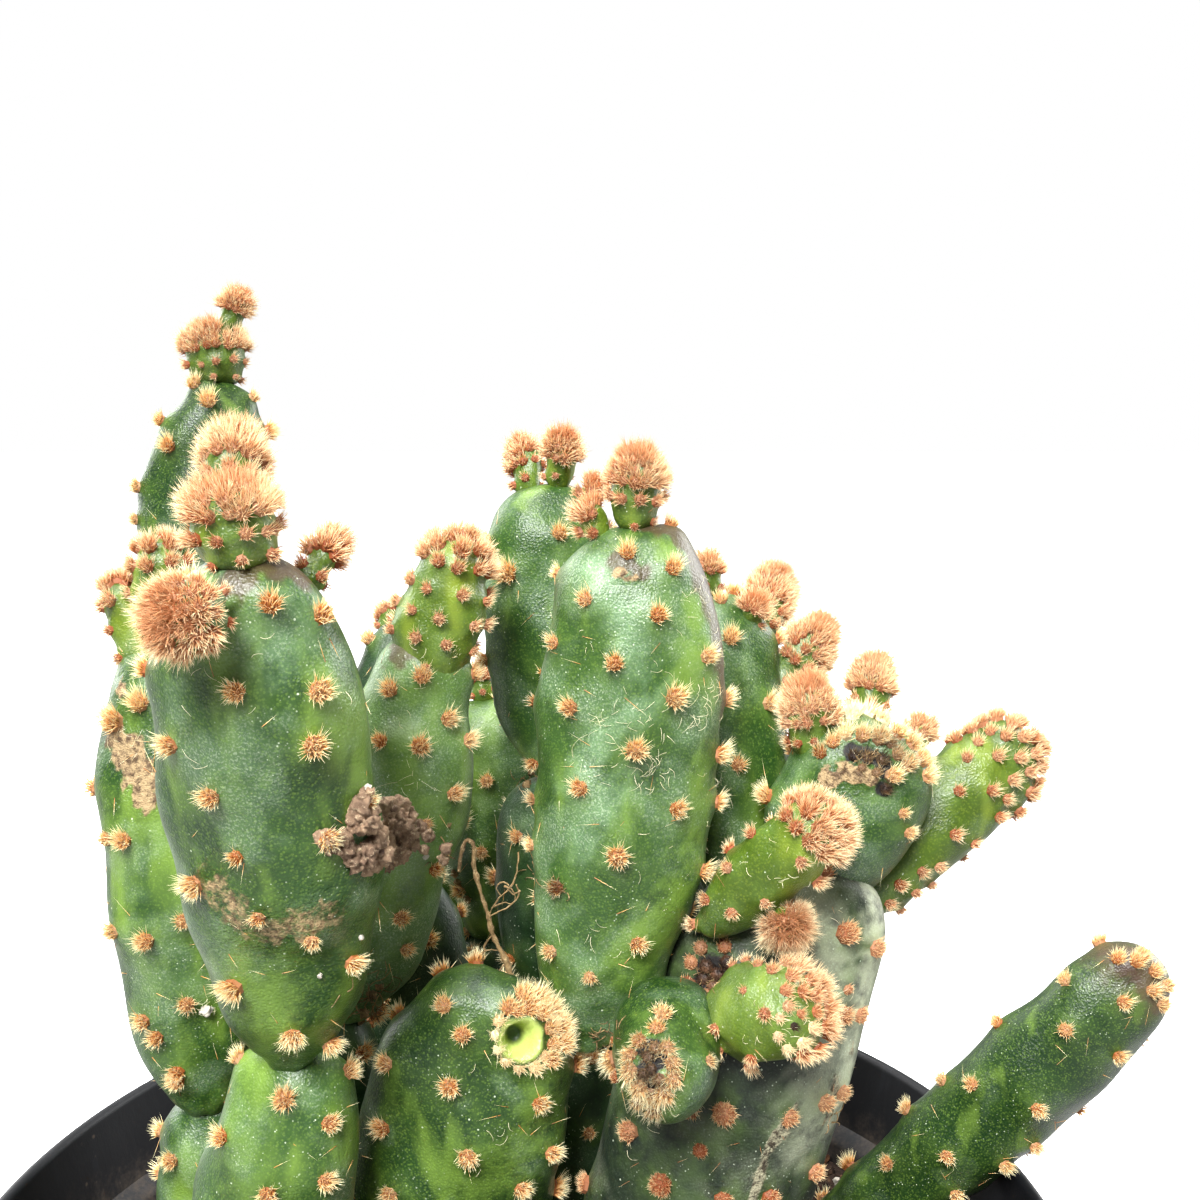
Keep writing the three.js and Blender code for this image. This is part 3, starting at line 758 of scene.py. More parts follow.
# Where the photo shows tufts: pixels of its 1200 by 1200 frame, right and down, and a size where it isn't 1.
SEEN_TUFTS: dict[str, tuple[Spot, ...]] = {
    "pad_centre": (
        (628, 555), (669, 571), (590, 601, 0.9), (656, 616), (558, 643, 0.85), (616, 663), (572, 707),
        (673, 697, 1.2), (702, 656), (728, 699), (635, 749, 1.2), (716, 754, 1.1), (583, 787),
        (538, 703, 0.8, 0.6), (675, 808), (722, 803, 0.9), (618, 853, 1.15), (558, 887, 1.0, 0.6),
        (637, 943), (697, 868), (531, 965, 0.9), (561, 575, 0.8), (655, 985, 0.9), (590, 975, 0.8),
        (534, 800, 0.8, 0.5), (533, 845, 0.8),
    ),
    "pad_centre_back": (
        (559, 534), (510, 574, 1.35), (487, 660), (492, 543), (533, 764, 0.9), (545, 672, 0.8),
    ),
    "pad_back": ((487, 781), (482, 851), (526, 803, 0.9)),
    "pad_middle_left": (
        (448, 656, 0.9), (422, 677), (467, 675, 0.9), (448, 719), (419, 745, 1.1), (466, 740), (449, 791),
        (433, 868, 0.9), (400, 914), (404, 946, 0.9), (392, 690), (385, 740, 0.9), (425, 822, 0.8),
    ),
    "pad_front_left": (
        (237, 690), (322, 615), (318, 690, 1.1), (312, 742, 1.1), (212, 796), (170, 745), (325, 835),
        (196, 884, 1.1), (311, 937, 0.8), (236, 985, 1.2), (293, 1028, 1.1), (350, 960), (329, 1042),
        (261, 912, 0.8), (270, 605), (238, 855, 0.8), (372, 700, 0.9), (366, 800, 0.8), (186, 650),
    ),
    "stem_front_left": (
        (284, 1099, 1.15), (225, 1136), (326, 1120), (269, 1191), (221, 1070, 1.1), (245, 1063, 0.9),
        (340, 1075), (190, 1180), (322, 1175),
    ),
    "pad_left": (
        (128, 839, 1.1), (149, 939, 1.1), (118, 930), (145, 1020), (187, 1004), (179, 1078), (137, 1057),
        (185, 919), (142, 704, 1.2), (117, 722, 1.4), (112, 838, 0.9), (150, 1120), (190, 860, 0.9),
        (128, 655),
    ),
    "stem_front": (
        (463, 1034), (449, 1087, 1.1), (384, 1127, 1.1), (395, 1062), (447, 1006), (468, 1154, 1.1),
        (392, 1192), (538, 1102), (548, 1150), (572, 1075), (570, 1050), (522, 998, 1.1), (536, 1001, 1.2),
        (548, 1012, 1.2), (556, 1027, 1.2), (558, 1043, 1.1), (547, 1057), (533, 1065, 0.9, -0.6),
        (519, 1066, 0.8, -0.6), (506, 1060, 0.8, -0.7), (498, 1048, 0.7, -0.8), (496, 1034, 0.7, -0.8),
        (499, 1021, 0.8, -0.5), (508, 1008), (527, 1009, 1.1), (540, 1014, 1.1), (547, 1028),
        (549, 1043, 0.9), (516, 1012, 0.8), (541, 1054, 0.8, -0.4), (372, 1075, 0.9), (340, 1150),
        (520, 1185),
    ),
    "trunk": (
        (845, 933, 1.2), (872, 947), (845, 1016), (862, 1016, 0.9), (724, 1111, 1.25), (785, 1113),
        (821, 1099), (839, 1091, 0.9), (629, 1131, 1.1), (590, 1185), (661, 1184, 1.2), (722, 1198),
        (768, 1194), (849, 990, 0.6), (812, 1170), (690, 1110), (700, 1150, 0.8), (622, 1076, 0.9),
        (694, 962, 0.8), (690, 984, 0.9, 0.3), (706, 996, 0.9), (724, 994), (738, 976, 0.8, 0.4),
        (704, 948, 0.8, 0.3), (726, 946, 0.8), (708, 966, 0.8, 1), (718, 974, 0.9, 1), (704, 978, 0.8, 1),
        (728, 962, 0.8, 1), (714, 986, 0.8, 0.8),
    ),
    "arm": (
        (1118, 961), (1068, 983), (1123, 1002), (1066, 1030), (1118, 1056), (1003, 1028), (1151, 1046),
        (975, 1085), (1036, 1105), (1082, 1111), (947, 1155), (888, 1164), (910, 1113), (1003, 1162),
        (1034, 1145), (955, 1192), (1141, 957), (1152, 972), (1163, 985), (1150, 990), (1158, 1002),
        (1135, 963), (945, 1083),
    ),
    "pad_right_round": (
        (891, 776, 1.0), (904, 830, 0.8), (852, 722, 1.1, -0.9), (866, 716, 1.2, -0.9),
        (881, 724, 1.1, -0.6), (846, 736, 1.0, -0.5), (862, 738, 1.0, 0.2), (878, 741, 1.1, 0.4),
        (893, 738, 1.1), (908, 748, 1.1, 0.2), (917, 762, 1.1), (921, 777, 1.0), (834, 744, 0.9),
        (822, 754, 0.9, 0.3), (904, 766, 1.0, 0.3), (900, 812, 0.7), (854, 756, 0.8, 1),
        (868, 757, 0.8, 0.9), (882, 760, 0.8, 1), (895, 756, 0.9, 0.6), (885, 789, 0.8, 1),
        (862, 768, 0.6, 0.7), (876, 773, 0.7, 0.6), (888, 746, 0.8, 0.8),
    ),
    "pad_right_light": (
        (967, 758), (998, 756, 1.1), (959, 791), (992, 791, 1.1), (1015, 781, 1.1), (955, 835, 1.1),
        (921, 871), (1020, 758, 1.1), (999, 817, 1.1), (978, 742), (1030, 772, 1.1), (1006, 736, 1.1),
        (1022, 738, 1.1), (1035, 754, 1.1), (900, 885, 1.1), (990, 730), (976, 845),
        (940, 868), (915, 892), (935, 890), (890, 905), (1008, 800),
    ),
    "pad_upper_light": ((728, 868), (731, 914), (801, 862), (750, 833), (705, 900), (765, 905, 0.9)),
    "pad_lower_light": (
        (764, 1014), (714, 1030), (742, 990, 0.7), (752, 1056), (772, 968), (786, 961, 1.1), (799, 968, 1.1),
        (810, 980, 1.1), (816, 996, 1.1), (817, 1012, 1.0), (812, 1028, 1.0, -0.7), (802, 1042, 1.0, -0.8),
        (787, 1048, 0.9, -0.8), (792, 976, 1.1), (803, 992, 1.1), (778, 1036, 0.8, -0.6), (757, 962, 0.9),
        (745, 958, 0.9), (733, 966, 0.8), (716, 1052), (780, 1018, 0.8, -0.5), (788, 1006, 0.9, -0.3),
        (794, 1026, 0.7, 1), (800, 1014, 0.8), (786, 990),
    ),
    "pad_knob": (
        (662, 1018, 1.0, -0.4), (657, 1030, 0.9, -0.3), (640, 1042, 0.9), (632, 1056, 0.9), (633, 1071),
        (641, 1085), (666, 1050, 0.9), (671, 1064, 0.9), (672, 1078, 0.9), (652, 1095, 1.0, 0.2),
        (664, 1090), (654, 1106, 0.9, 0.3), (640, 1098, 0.8, 0.3), (706, 1062, 0.7), (648, 1058, 0.8, 0.9),
        (652, 1070, 0.8, 0.9), (660, 1078, 0.8, 0.5), (645, 1074, 0.8, 0.6), (656, 1048, 0.8, 0.4),
    ),
    "pad_back_left": (
        (209, 403, 1.2), (172, 447, 1.2), (157, 419), (144, 488), (246, 427, 0.9), (270, 432, 1.3),
        (192, 380, 1.1), (252, 398, 0.9), (138, 520, 0.9),
    ),
}


class Wound(Enum):
    """The kinds of mark on the skin."""

    CORK = "cork"
    CRACK = "crack"
    CHAR = "char"
    TORN = "torn"
    BLUSH = "blush"
    WARM = "warm"
    # Painted highlight: a pale sheen laid where light falls on the skin.
    BLOOM = "bloom"


@dataclass(frozen=True)
class Mark:
    """A mark on a segment's skin, along a line of the photo's pixels."""

    wound: Wound
    spots: tuple[Spot, ...]
    radius: float
    strength: float = 1.0


MARKS: dict[str, tuple[Mark, ...]] = {
    "stem_front": (
        Mark(Wound.TORN, ((519, 1039),), 2.3),
        Mark(Wound.WARM, ((470, 1190), (540, 1130), (552, 1080)), 3.5, 0.6),
    ),
    "stem_front_left": (
        Mark(Wound.WARM, ((250, 1080), (240, 1190)), 3.4, 0.5),
    ),
    "trunk": (
        Mark(Wound.CRACK, ((792, 1100), (778, 1128), (764, 1150), (752, 1196)), 0.9, 0.85),
        # Painted highlights down the trunk's right side and its middle.
        Mark(Wound.BLOOM, ((872, 900), (866, 1000), (848, 1070), (836, 1110)), 2.6),
        Mark(Wound.BLOOM, ((800, 880), (835, 960), (822, 1060), (800, 1140)), 3.4, 0.5),
        Mark(Wound.CORK, ((826, 1120), (834, 1080)), 1.1, 0.6),
        Mark(Wound.CORK, ((855, 1050),), 1.0, 0.7),
        Mark(Wound.CHAR, ((705, 978), (722, 966)), 1.9),
    ),
    "pad_right_round": (
        Mark(Wound.CORK, ((828, 778), (845, 772), (866, 776)), 1.5),
        Mark(Wound.CHAR, ((850, 752), (872, 756), (884, 768)), 1.2),
        Mark(Wound.CHAR, ((883, 790),), 1.0),
    ),
    "pad_left": (
        Mark(Wound.CORK, ((118, 742), (134, 758), (142, 792)), 2.2),
        Mark(Wound.CORK, ((124, 690),), 1.3, 0.8),
        Mark(Wound.WARM, ((108, 800), (122, 900), (150, 990)), 2.0, 0.5),
    ),
    "pad_centre": (
        Mark(Wound.BLUSH, ((628, 526), (662, 530), (690, 556), (706, 594)), 2.2),
        Mark(Wound.BLUSH, ((708, 606), (716, 655), (722, 720)), 1.9, 0.8),
        Mark(Wound.BLUSH, ((616, 560), (640, 574)), 1.3, 0.8),
        Mark(Wound.CORK, ((618, 574), (634, 578)), 0.7, 0.8),
        # Painted highlights over the pad's left and middle.
        Mark(Wound.BLOOM, ((596, 572), (612, 600), (626, 632), (640, 668)), 1.7, 0.4),
        Mark(Wound.BLOOM, ((664, 690), (632, 716), (600, 742), (572, 790)), 1.9, 0.34),
        Mark(Wound.BLOOM, ((640, 770), (610, 800), (580, 850)), 2.0, 0.3),
        Mark(Wound.WARM, ((692, 610), (694, 650), (688, 684)), 2.4),
        Mark(Wound.WARM, ((708, 780), (698, 840), (672, 900), (630, 960)), 3.2),
        Mark(Wound.WARM, ((664, 548), (672, 560)), 1.4),
    ),
    "pad_middle_left": (
        Mark(Wound.BLUSH, ((402, 652), (428, 640), (472, 648)), 2.1),
        Mark(Wound.WARM, ((420, 700), (400, 900)), 3.0, 0.6),
    ),
    "pad_front_left": (
        Mark(Wound.BLUSH, ((236, 580), (262, 562), (300, 572)), 2.0),
        Mark(Wound.CORK, ((214, 888), (262, 930), (322, 915)), 3.4, 0.52),
        Mark(Wound.WARM, ((250, 960), (276, 1030)), 4.0, 0.8),
        # Painted highlight near the pad's upper right.
        Mark(Wound.BLOOM, ((310, 610), (280, 660), (230, 640)), 2.8, 0.3),
    ),
    "arm": (
        Mark(Wound.BLUSH, ((1122, 958), (1146, 972), (1158, 996)), 2.6),
    ),
    "pad_knob": (
        Mark(Wound.CHAR, ((650, 1052), (651, 1082)), 1.6),
    ),
    "pad_back": (
        Mark(Wound.WARM, ((480, 720), (478, 800)), 3.0, 0.5),
    ),
}


def add_object(name: str, data: bpy.types.ID) -> bpy.types.Object:
    """A new object in the scene for a mesh, a light or a camera."""
    made = bpy.data.objects.new(name, data)
    bpy.context.scene.collection.objects.link(made)
    return made


def store(mesh: Mesh, name: str, values: Any) -> None:
    """Stores a number, or a row of three, for each of a mesh's points."""
    values = np.asarray(values, np.float32)
    kind, key = ("FLOAT", "value") if values.ndim == 1 else ("FLOAT_VECTOR", "vector")
    mesh.attributes.new(name, kind, "POINT").data.foreach_set(key, values.ravel())


def evaluated(piece: bpy.types.Object) -> Mesh:
    """A new mesh of a piece with its modifiers applied."""
    bpy.context.view_layer.update()
    graph = bpy.context.evaluated_depsgraph_get()
    return bpy.data.meshes.new_from_object(piece.evaluated_get(graph), depsgraph=graph)


@dataclass(frozen=True)
class PhotoCamera:
    """The camera of the photo, as the arc of the pot's rim gives it."""

    place: Triple = (7.5, -107.8, 164.3)
    pitch: float = 9.5
    focal: float = 1300.0
    picture: float = 1200.0
    sensor: float = 36.0

    def ray(self, spot: Spot) -> tuple[Vector, Vector]:
        """The camera's place, and the direction in which it sees a pixel."""
        right = (spot[0] - self.picture / 2) / self.focal
        up = (self.picture / 2 - spot[1]) / self.focal
        pitch = math.radians(self.pitch)
        forward = math.cos(pitch) + up * math.sin(pitch)
        rise = up * math.cos(pitch) - math.sin(pitch)
        return Vector(self.place), Vector((right, forward, rise)).normalized()

    def at_depth(self, spot: Spot, depth: float) -> Array:
        """The point that shows at a pixel and lies at a distance along Y."""
        start, heading = self.ray(spot)
        return np.array(start + heading * ((depth - start.y) / heading.y))

    def add(self) -> None:
        """Adds the camera to the scene."""
        data = bpy.data.cameras.new("camera")
        data.sensor_width = self.sensor
        data.lens = self.focal / self.picture * self.sensor
        data.clip_start, data.clip_end = 0.004, 30
        camera = add_object("camera", data)
        camera.location = Vector(self.place) * MM
        camera.rotation_euler = (math.radians(90 - self.pitch), 0, 0)
        bpy.context.scene.camera = camera


class Ripple:
    """A smooth seeded field of crossing waves, mostly between -1 and 1."""

    def __init__(self, rng: Generator, length: float, waves: int = 8) -> None:
        """Draws so many waves of about one length."""
        heading = rng.normal(size=(waves, 3))
        heading /= np.linalg.norm(heading, axis=1, keepdims=True)
        self.wave = heading * 2 * math.pi / (length * rng.uniform(0.7, 1.5, (waves, 1)))
        self.phase = rng.uniform(0, 2 * math.pi, waves)

    def __call__(self, points: Array) -> Array:
        """The field at each point."""
        return np.sin(points @ self.wave.T + self.phase).sum(axis=1) / math.sqrt(len(self.phase))


@dataclass
class Areoles:
    """The places on a segment where tufts grow, and where loose bristles lie."""

    points: Array
    normals: Array
    sizes: Array
    reaches: Array
    shares: Array
    fine: Array
    stray: Array
    dirt: Array

    @staticmethod
    def of(
        points: Any, normals: Any, sizes: Any, reaches: Any, shares: Any, stray: float = 0.0, dirt: Any = 0.0
    ) -> "Areoles":
        """Areoles with a number or an array for each quantity.

        Args:
            points, normals: Their places, and the outward directions there.
            sizes, reaches: Their sizes and their bristles' lengths, as shares of the style's.
            shares: Their shares of the segment's length.
            stray: 1 for loose bristles, 0 for tufts.
            dirt: How dark they are, up to 1, or how pale, down to -1.

        Returns:
            The areoles.
        """
        points = np.array(points, float).reshape(-1, 3)
        whole = np.ones(len(points))
        given = (sizes, reaches, shares, 1, stray, dirt)
        rows = [whole * np.asarray(values, float).reshape(-1) for values in given]
        return Areoles(points, np.array(normals, float).reshape(-1, 3), *rows)

    @staticmethod
    def join(groups: Sequence["Areoles"]) -> "Areoles":
        """All of several groups as one."""
        return Areoles(*(np.concatenate([getattr(g, f.name) for g in groups]) for f in fields(Areoles)))

    def keep(self, mask: Array) -> "Areoles":
        """Those that the mask keeps."""
        return Areoles(*(getattr(self, f.name)[mask] for f in fields(Areoles)))


@dataclass
class Relief:
    """What lifts a segment's skin off its plain oval shape, and the masks that colour it."""

    segment: Segment
    areoles: Areoles
    marks: Sequence[tuple[Mark, Array]]
    rng: Generator

    def __post_init__(self) -> None:
        """Draws the segment's own waves."""
        self.habit: Habit = self.segment.age.value
        self.swell = Ripple(self.rng, self.habit.wave_length)
        self.pucker = Ripple(self.rng, 1.6)
        self.edge = Ripple(self.rng, 1.1)

    def _nearness(self, points: Array, radius: float) -> Array:
        """How near each point is to an areole, 1 at it and fading over the radius."""
        near = np.zeros(len(points))
        for centre in self.areoles.points:
            square = ((points - centre) ** 2).sum(axis=1)
            np.maximum(near, np.exp(-square / (2 * radius * radius)), out=near)
        return near

    def _mark(self, mark: Mark, route: Array, points: Array) -> Array:
        """How deep each point lies in a mark, 1 along its middle and 0 outside it."""
        distance = np.full(len(points), np.inf)
        for start, end in zip(route, route[1:] if len(route) > 1 else route):
            run = end - start
            square = float(run @ run)
            share = np.clip((points - start) @ run / square, 0, 1) if square else np.zeros(len(points))
            away = np.linalg.norm(points - start - share[:, None] * run, axis=1)
            np.minimum(distance, away, out=distance)
        ragged = 1 + (0.3 if mark.wound is not Wound.TORN else 0.08) * self.edge(points)
        return mark.strength * smooth(1.0, 0.15, distance / (mark.radius * ragged))

    def height(self, points: Array, share: Array) -> Array:
        """How far the skin stands off the plain shape.

        Args:
            points, share: Points on the plain shape, and their shares of the segment's length.

        Returns:
            The heights.
        """
        habit = self.habit
        ends = smooth(0.0, 0.06, share) * smooth(1.0, 0.97, share)
        height = habit.wave * self.swell(points) * ends
        height -= habit.wool
        height += habit.mound * self._nearness(points, habit.mound_radius * 0.6)
        height += 0.09 * smooth(0.16, 0.03, share) * self.pucker(points)
        for mark, route in self.marks:
            depth = self._mark(mark, route, points)
            if mark.wound is Wound.CORK:
                height += depth * (0.05 + 0.1 * self.pucker(points))
            elif mark.wound is Wound.CRACK:
                height += 0.12 * depth - 0.55 * smooth(0.55, 1.0, depth)
            elif mark.wound is Wound.CHAR:
                height -= depth * (0.25 + 0.15 * self.pucker(points))
            elif mark.wound is Wound.TORN:
                height += 0.55 * smooth(0.0, 0.3, depth) - 2.3 * smooth(0.4, 0.9, depth)
        return height

    def masks(self, points: Array, share: Array) -> dict[str, Array]:
        """The numbers that colour the skin, by the names that its material reads.

        Args:
            points, share: Points on the plain shape, and their shares of the segment's length.

        Returns:
            One array for each name.
        """
        # The painted-highlight marks give a mask of their own, which the skin paints as pale sheen.
        masks = {name: np.zeros(len(points)) for name in ("cork", "char", "torn", "warm", "bloom")}
        masks["tone"] = np.full(len(points), self.segment.tone)
        masks["halo"] = self._nearness(points, 1.5 * self.habit.tufts.cushion + 0.5)
        masks["blush"] = self.segment.blush * smooth(0.86, 0.97, share)
        for mark, route in self.marks:
            name = "cork" if mark.wound is Wound.CRACK else mark.wound.value
            masks[name] = np.maximum(masks[name], self._mark(mark, route, points))
        return masks


class Workshop:
    """Turns points and faces into pieces of the object, and counts their triangles."""

    def __init__(self) -> None:
        """Starts with no pieces made."""
        self.triangles = 0

    def mesh(
        self,
        name: str,
        points: Array,
        faces: Iterable[Sequence[int]],
        masks: Mapping[str, Array] | None = None,
    ) -> Mesh:
        """A smooth mesh in metres.

        Args:
            name: Its name.
            points, faces: Its points, in millimetres, and its faces.
            masks: A number for each point, by name.

        Returns:
            The mesh.
        """
        mesh = bpy.data.meshes.new(name)
        mesh.from_pydata((np.asarray(points) * MM).tolist(), [], faces)
        for key, values in (masks or {}).items():
            store(mesh, key, values)
        mesh.polygons.foreach_set("use_smooth", [True] * len(mesh.polygons))
        mesh.update()
        return mesh

    def finish(self, name: str, mesh: Mesh, finish: Finish, slot: str, stands_for: str = "") -> None:
        """Makes a finished piece that rides on the plant's one body.

        Args:
            name, mesh, finish: The piece's name, mesh and finish.
            slot: The record's material slot; it is not used.
            stands_for: The frame's node that it replaces, if any.
        """
        mesh.materials.clear()
        mesh.materials.append(finish.material())
        piece = add_object(name, mesh)
        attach(piece, BODY)
        if stands_for:
            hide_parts(stands_for)
        triangles = sum(len(p.vertices) - 2 for p in mesh.polygons)
        LOG.info("%s: %d triangles", name, triangles)
        self.triangles += triangles

    def grow(self, name: str, source: Mesh, tree: bpy.types.NodeTree, values: Mapping[str, Any]) -> Mesh:
        """The mesh that a geometry tree makes from a source mesh.

        Args:
            name, source: The new mesh's name, and the mesh that the tree takes in.
            tree, values: The tree, and its inputs by name.

        Returns:
            The new mesh.
        """
        holder = add_object(name + "_seedbed", source)
        modifier = holder.modifiers.new("growth", "NODES")
        modifier.node_group = tree
        for item in tree.interface.items_tree:
            if item.item_type == "SOCKET" and item.in_out == "INPUT" and item.name in values:
                modifier[item.identifier] = values[item.name]
        made = evaluated(holder)
        made.name = name
        bpy.data.objects.remove(holder)
        bpy.data.meshes.remove(source)
        return made


class GrowthTree:
    """A geometry tree with named inputs, and the nodes that such trees share."""

    def __init__(self, name: str, inputs: Mapping[str, str]) -> None:
        """Starts the tree.

        Args:
            name: Its name.
            inputs: The kind of each input; a seed and a material are added.
        """
        tree = bpy.data.node_groups.new(name, "GeometryNodeTree")
        kinds = {"Geometry": "Geometry", **inputs, "Seed": "Int", "Material": "Material"}
        for key, kind in kinds.items():
            tree.interface.new_socket(key, in_out="INPUT", socket_type="NodeSocket" + kind)
        tree.interface.new_socket("Geometry", in_out="OUTPUT", socket_type="NodeSocketGeometry")
        self.graph = Graph(tree)
        self.given = self.graph.add("NodeGroupInput", output="Geometry")

    def random(self, low: Any, high: Any, seed: int, kind: str = "FLOAT") -> Wire:
        """A random value for each point."""
        values = {"Min": low, "Max": high, "Seed": seed}
        return self.graph.add("FunctionNodeRandomValue", {"data_type": kind}, values)

    def vector(self, operation: str, first: Wire, second: Any, output: str = "Vector") -> Wire:
        """A Vector Math node; to scale, the second is a number."""
        values = {0: first, ("Scale" if operation == "SCALE" else 1): second}
        return self.graph.add("ShaderNodeVectorMath", {"operation": operation}, values, output)

    def xyz(self, x: Any, y: Any, z: Any) -> Wire:
        """A vector from three numbers."""
        return self.graph.add("ShaderNodeCombineXYZ", {}, {"X": x, "Y": y, "Z": z})

    def marked(self, shapes: Wire, name: str, value: Wire, domain: str = "INSTANCE") -> Wire:
        """Shapes that hold a number, each or at each of their points."""
        values = {"Geometry": shapes, "Name": name, "Value": value}
        settings = {"data_type": "FLOAT", "domain": domain}
        return self.graph.add("GeometryNodeStoreNamedAttribute", settings, values)

    def planted(self, spots: Wire, shape: Wire, turn: Wire, scale: Wire) -> Wire:
        """A turned and scaled copy of a shape on each spot."""
        values = {"Points": spots, "Instance": shape, "Rotation": turn, "Scale": scale}
        return self.graph.add("GeometryNodeInstanceOnPoints", {}, values)

    def real(self, shapes: Wire) -> Wire:
        """Copies as meshes of their own."""
        return self.graph.add("GeometryNodeRealizeInstances", {}, {"Geometry": shapes})

    def close(self, shapes: Wire) -> None:
        """Ends the tree with the shapes, in the given material."""
        values = {"Geometry": shapes, "Material": self.given.output("Material")}
        dressed = self.graph.add("GeometryNodeSetMaterial", {}, values)
        self.graph.add("NodeGroupOutput", {}, {"Geometry": dressed})


class TuftTree(GrowthTree):
    """The tree that grows a cushion and its bristles on each areole."""

    def __init__(self) -> None:
        """Builds the tree."""
        sizes = ("Cushion Radius", "Bristle Length", "Bristle Width", "Bristles per Area", "Splay")
        super().__init__("tufts", dict.fromkeys(sizes, "Float"))
        graph = self.graph
        self.outward = self._named("outward", "FLOAT_VECTOR")
        self.size = self._named("size")
        values = {"Geometry": self.given, "Selection": self._above(self._named("stray"), 0.5)}
        parted = graph.add("GeometryNodeSeparateGeometry", {"domain": "POINT"}, values, "Selection")
        bristle = self._bristle()
        cushions = self._cushions(parted.output("Inverted"))
        joined = graph.add("GeometryNodeJoinGeometry")
        for part in (cushions, self._bristles(cushions, bristle), self._strays(parted, bristle)):
            graph.tree.links.new(part.socket, joined.socket.node.inputs[0])
        self.close(self.real(joined))

    def _named(self, name: str, kind: str = "FLOAT") -> Wire:
        """An attribute that the points hold."""
        values = {"Name": name}
        return self.graph.add("GeometryNodeInputNamedAttribute", {"data_type": kind}, values, "Attribute")

    def _above(self, value: Wire, limit: float) -> Wire:
        """Whether a value is above a limit."""
        values = {"A": value, "B": limit}
        return self.graph.add("FunctionNodeCompare", {"operation": "GREATER_THAN"}, values)

    def _aimed(self, way: Wire) -> Wire:
        """The rotation that points a shape's top along a direction."""
        return self.graph.add("FunctionNodeAlignRotationToVector", {"axis": "Z"}, {"Vector": way})

    def _turned(self, rotation: Wire, x: Any, z: Any) -> Wire:
        """A rotation that is turned further about its own axes."""
        turn = self.graph.add("FunctionNodeEulerToRotation", {}, {"Euler": self.xyz(x, 0.0, z)})
        values = {"Rotation": rotation, "Rotate By": turn}
        return self.graph.add("FunctionNodeRotateRotation", {"rotation_space": "LOCAL"}, values)

    def _sum(self, *parts: tuple[Wire, Any]) -> Wire:
        """The sum of directions, each with its weight."""
        scaled = [self.vector("SCALE", way, weight) for way, weight in parts]
        return reduce(lambda total, part: self.vector("ADD", total, part), scaled)

    def _tinted(self, bristles: Wire, least: Any = 0.0) -> Wire:
        """Bristles that each have a random tint, up to 1 from the least one."""
        return self.marked(bristles, "tint", least + self.random(0.0, 1.0, 7) * (1.0 - least))

    def _bristle(self) -> Wire:
        """One bristle, a slender spike that knows how far along it each point is."""
        graph, length = self.graph, self.given.output("Bristle Length")
        values = {"Vertices": 3, "Radius Top": 0.0, "Radius Bottom": self.given.output("Bristle Width")}
        cone = graph.add("GeometryNodeMeshCone", {"fill_type": "NONE"}, {**values, "Depth": length}, "Mesh")
        place = graph.add("GeometryNodeInputPosition")
        height = graph.add("ShaderNodeSeparateXYZ", {}, {"Vector": place}, "Z")
        return self.marked(cone, "along", height / length, "POINT")

    def _cushions(self, spots: Wire) -> Wire:
        """A low dome on each areole."""
        dome = self.graph.add("GeometryNodeMeshUVSphere", {}, {"Segments": 7, "Rings": 5, "Radius": 1.0})
        radius = self.size * self.given.output("Cushion Radius")
        scale = self.xyz(radius, radius, radius * 0.85)
        return self.real(self.planted(spots, dome, self._aimed(self.outward), scale))

    def _bristles(self, cushions: Wire, bristle: Wire) -> Wire:
        """Bristles that stand out of the cushions all round, paler on the upper side as painted light."""
        graph, given, outward, dot = self.graph, self.given, self.outward, "DOT_PRODUCT"
        upward, fine = self._named("upward", "FLOAT_VECTOR"), self._named("fine")
        facing = self.vector(dot, graph.add("GeometryNodeInputNormal"), outward, "Value")
        values = {
            "Mesh": cushions, "Selection": self._above(facing, 0.02),
            "Density": given.output("Bristles per Area") * fine, "Seed": given.output("Seed"),
        }
        roots = graph.add("GeometryNodeDistributePointsOnFaces", {}, values, "Points")
        normal = roots.output("Normal")
        sway = self.random((-1.0,) * 3, (1.0,) * 3, 3, "FLOAT_VECTOR")
        way = self._sum((normal, 0.62), (outward, 0.5), (upward, 0.34), (sway, given.output("Splay")))
        turned = self._turned(self._aimed(way), 0.0, self.random(0.0, 6.3, 5))
        above = self.vector(dot, normal, upward, "Value")
        broad = self.size / fine.math("SQRT", fine)
        reach = self.size * self._named("reach") * self.random(0.5, 1.2, 6) * (1.0 + above * 0.3)
        bristles = self.planted(roots, bristle, turned, self.xyz(broad, broad, reach))
        # Painted light: bristles on the cushion's upper side get a higher least tint and come out paler, and
        # those below darker, as painted shade.
        return self._tinted(bristles, (above * 0.3 + 0.2).clamp())

    def _strays(self, spots: Wire, bristle: Wire) -> Wire:
        """Loose bristles that lie on the skin."""
        spun = self._turned(self._aimed(self.outward), 0.0, self.random(0.0, 6.3, 8))
        lying = self._turned(spun, self.random(1.15, 1.6, 9), 0.0)
        return self._tinted(self.planted(spots, bristle, lying, self.xyz(0.8, 0.8, self.size * 2.4)))

    def values(self, style: TuftStyle, seed: int) -> dict[str, Any]:
        """The tree's inputs for one style, by name."""
        dome = 2 * math.pi * (style.cushion * MM) ** 2 * CUSHION_SHARE
        return {
            "Cushion Radius": style.cushion * MM,
            "Bristle Length": style.length * MM,
            "Bristle Width": style.width * MM,
            "Bristles per Area": style.count / dome,
            "Splay": style.splay,
            "Seed": seed,
            "Material": style.finish.material(),
        }


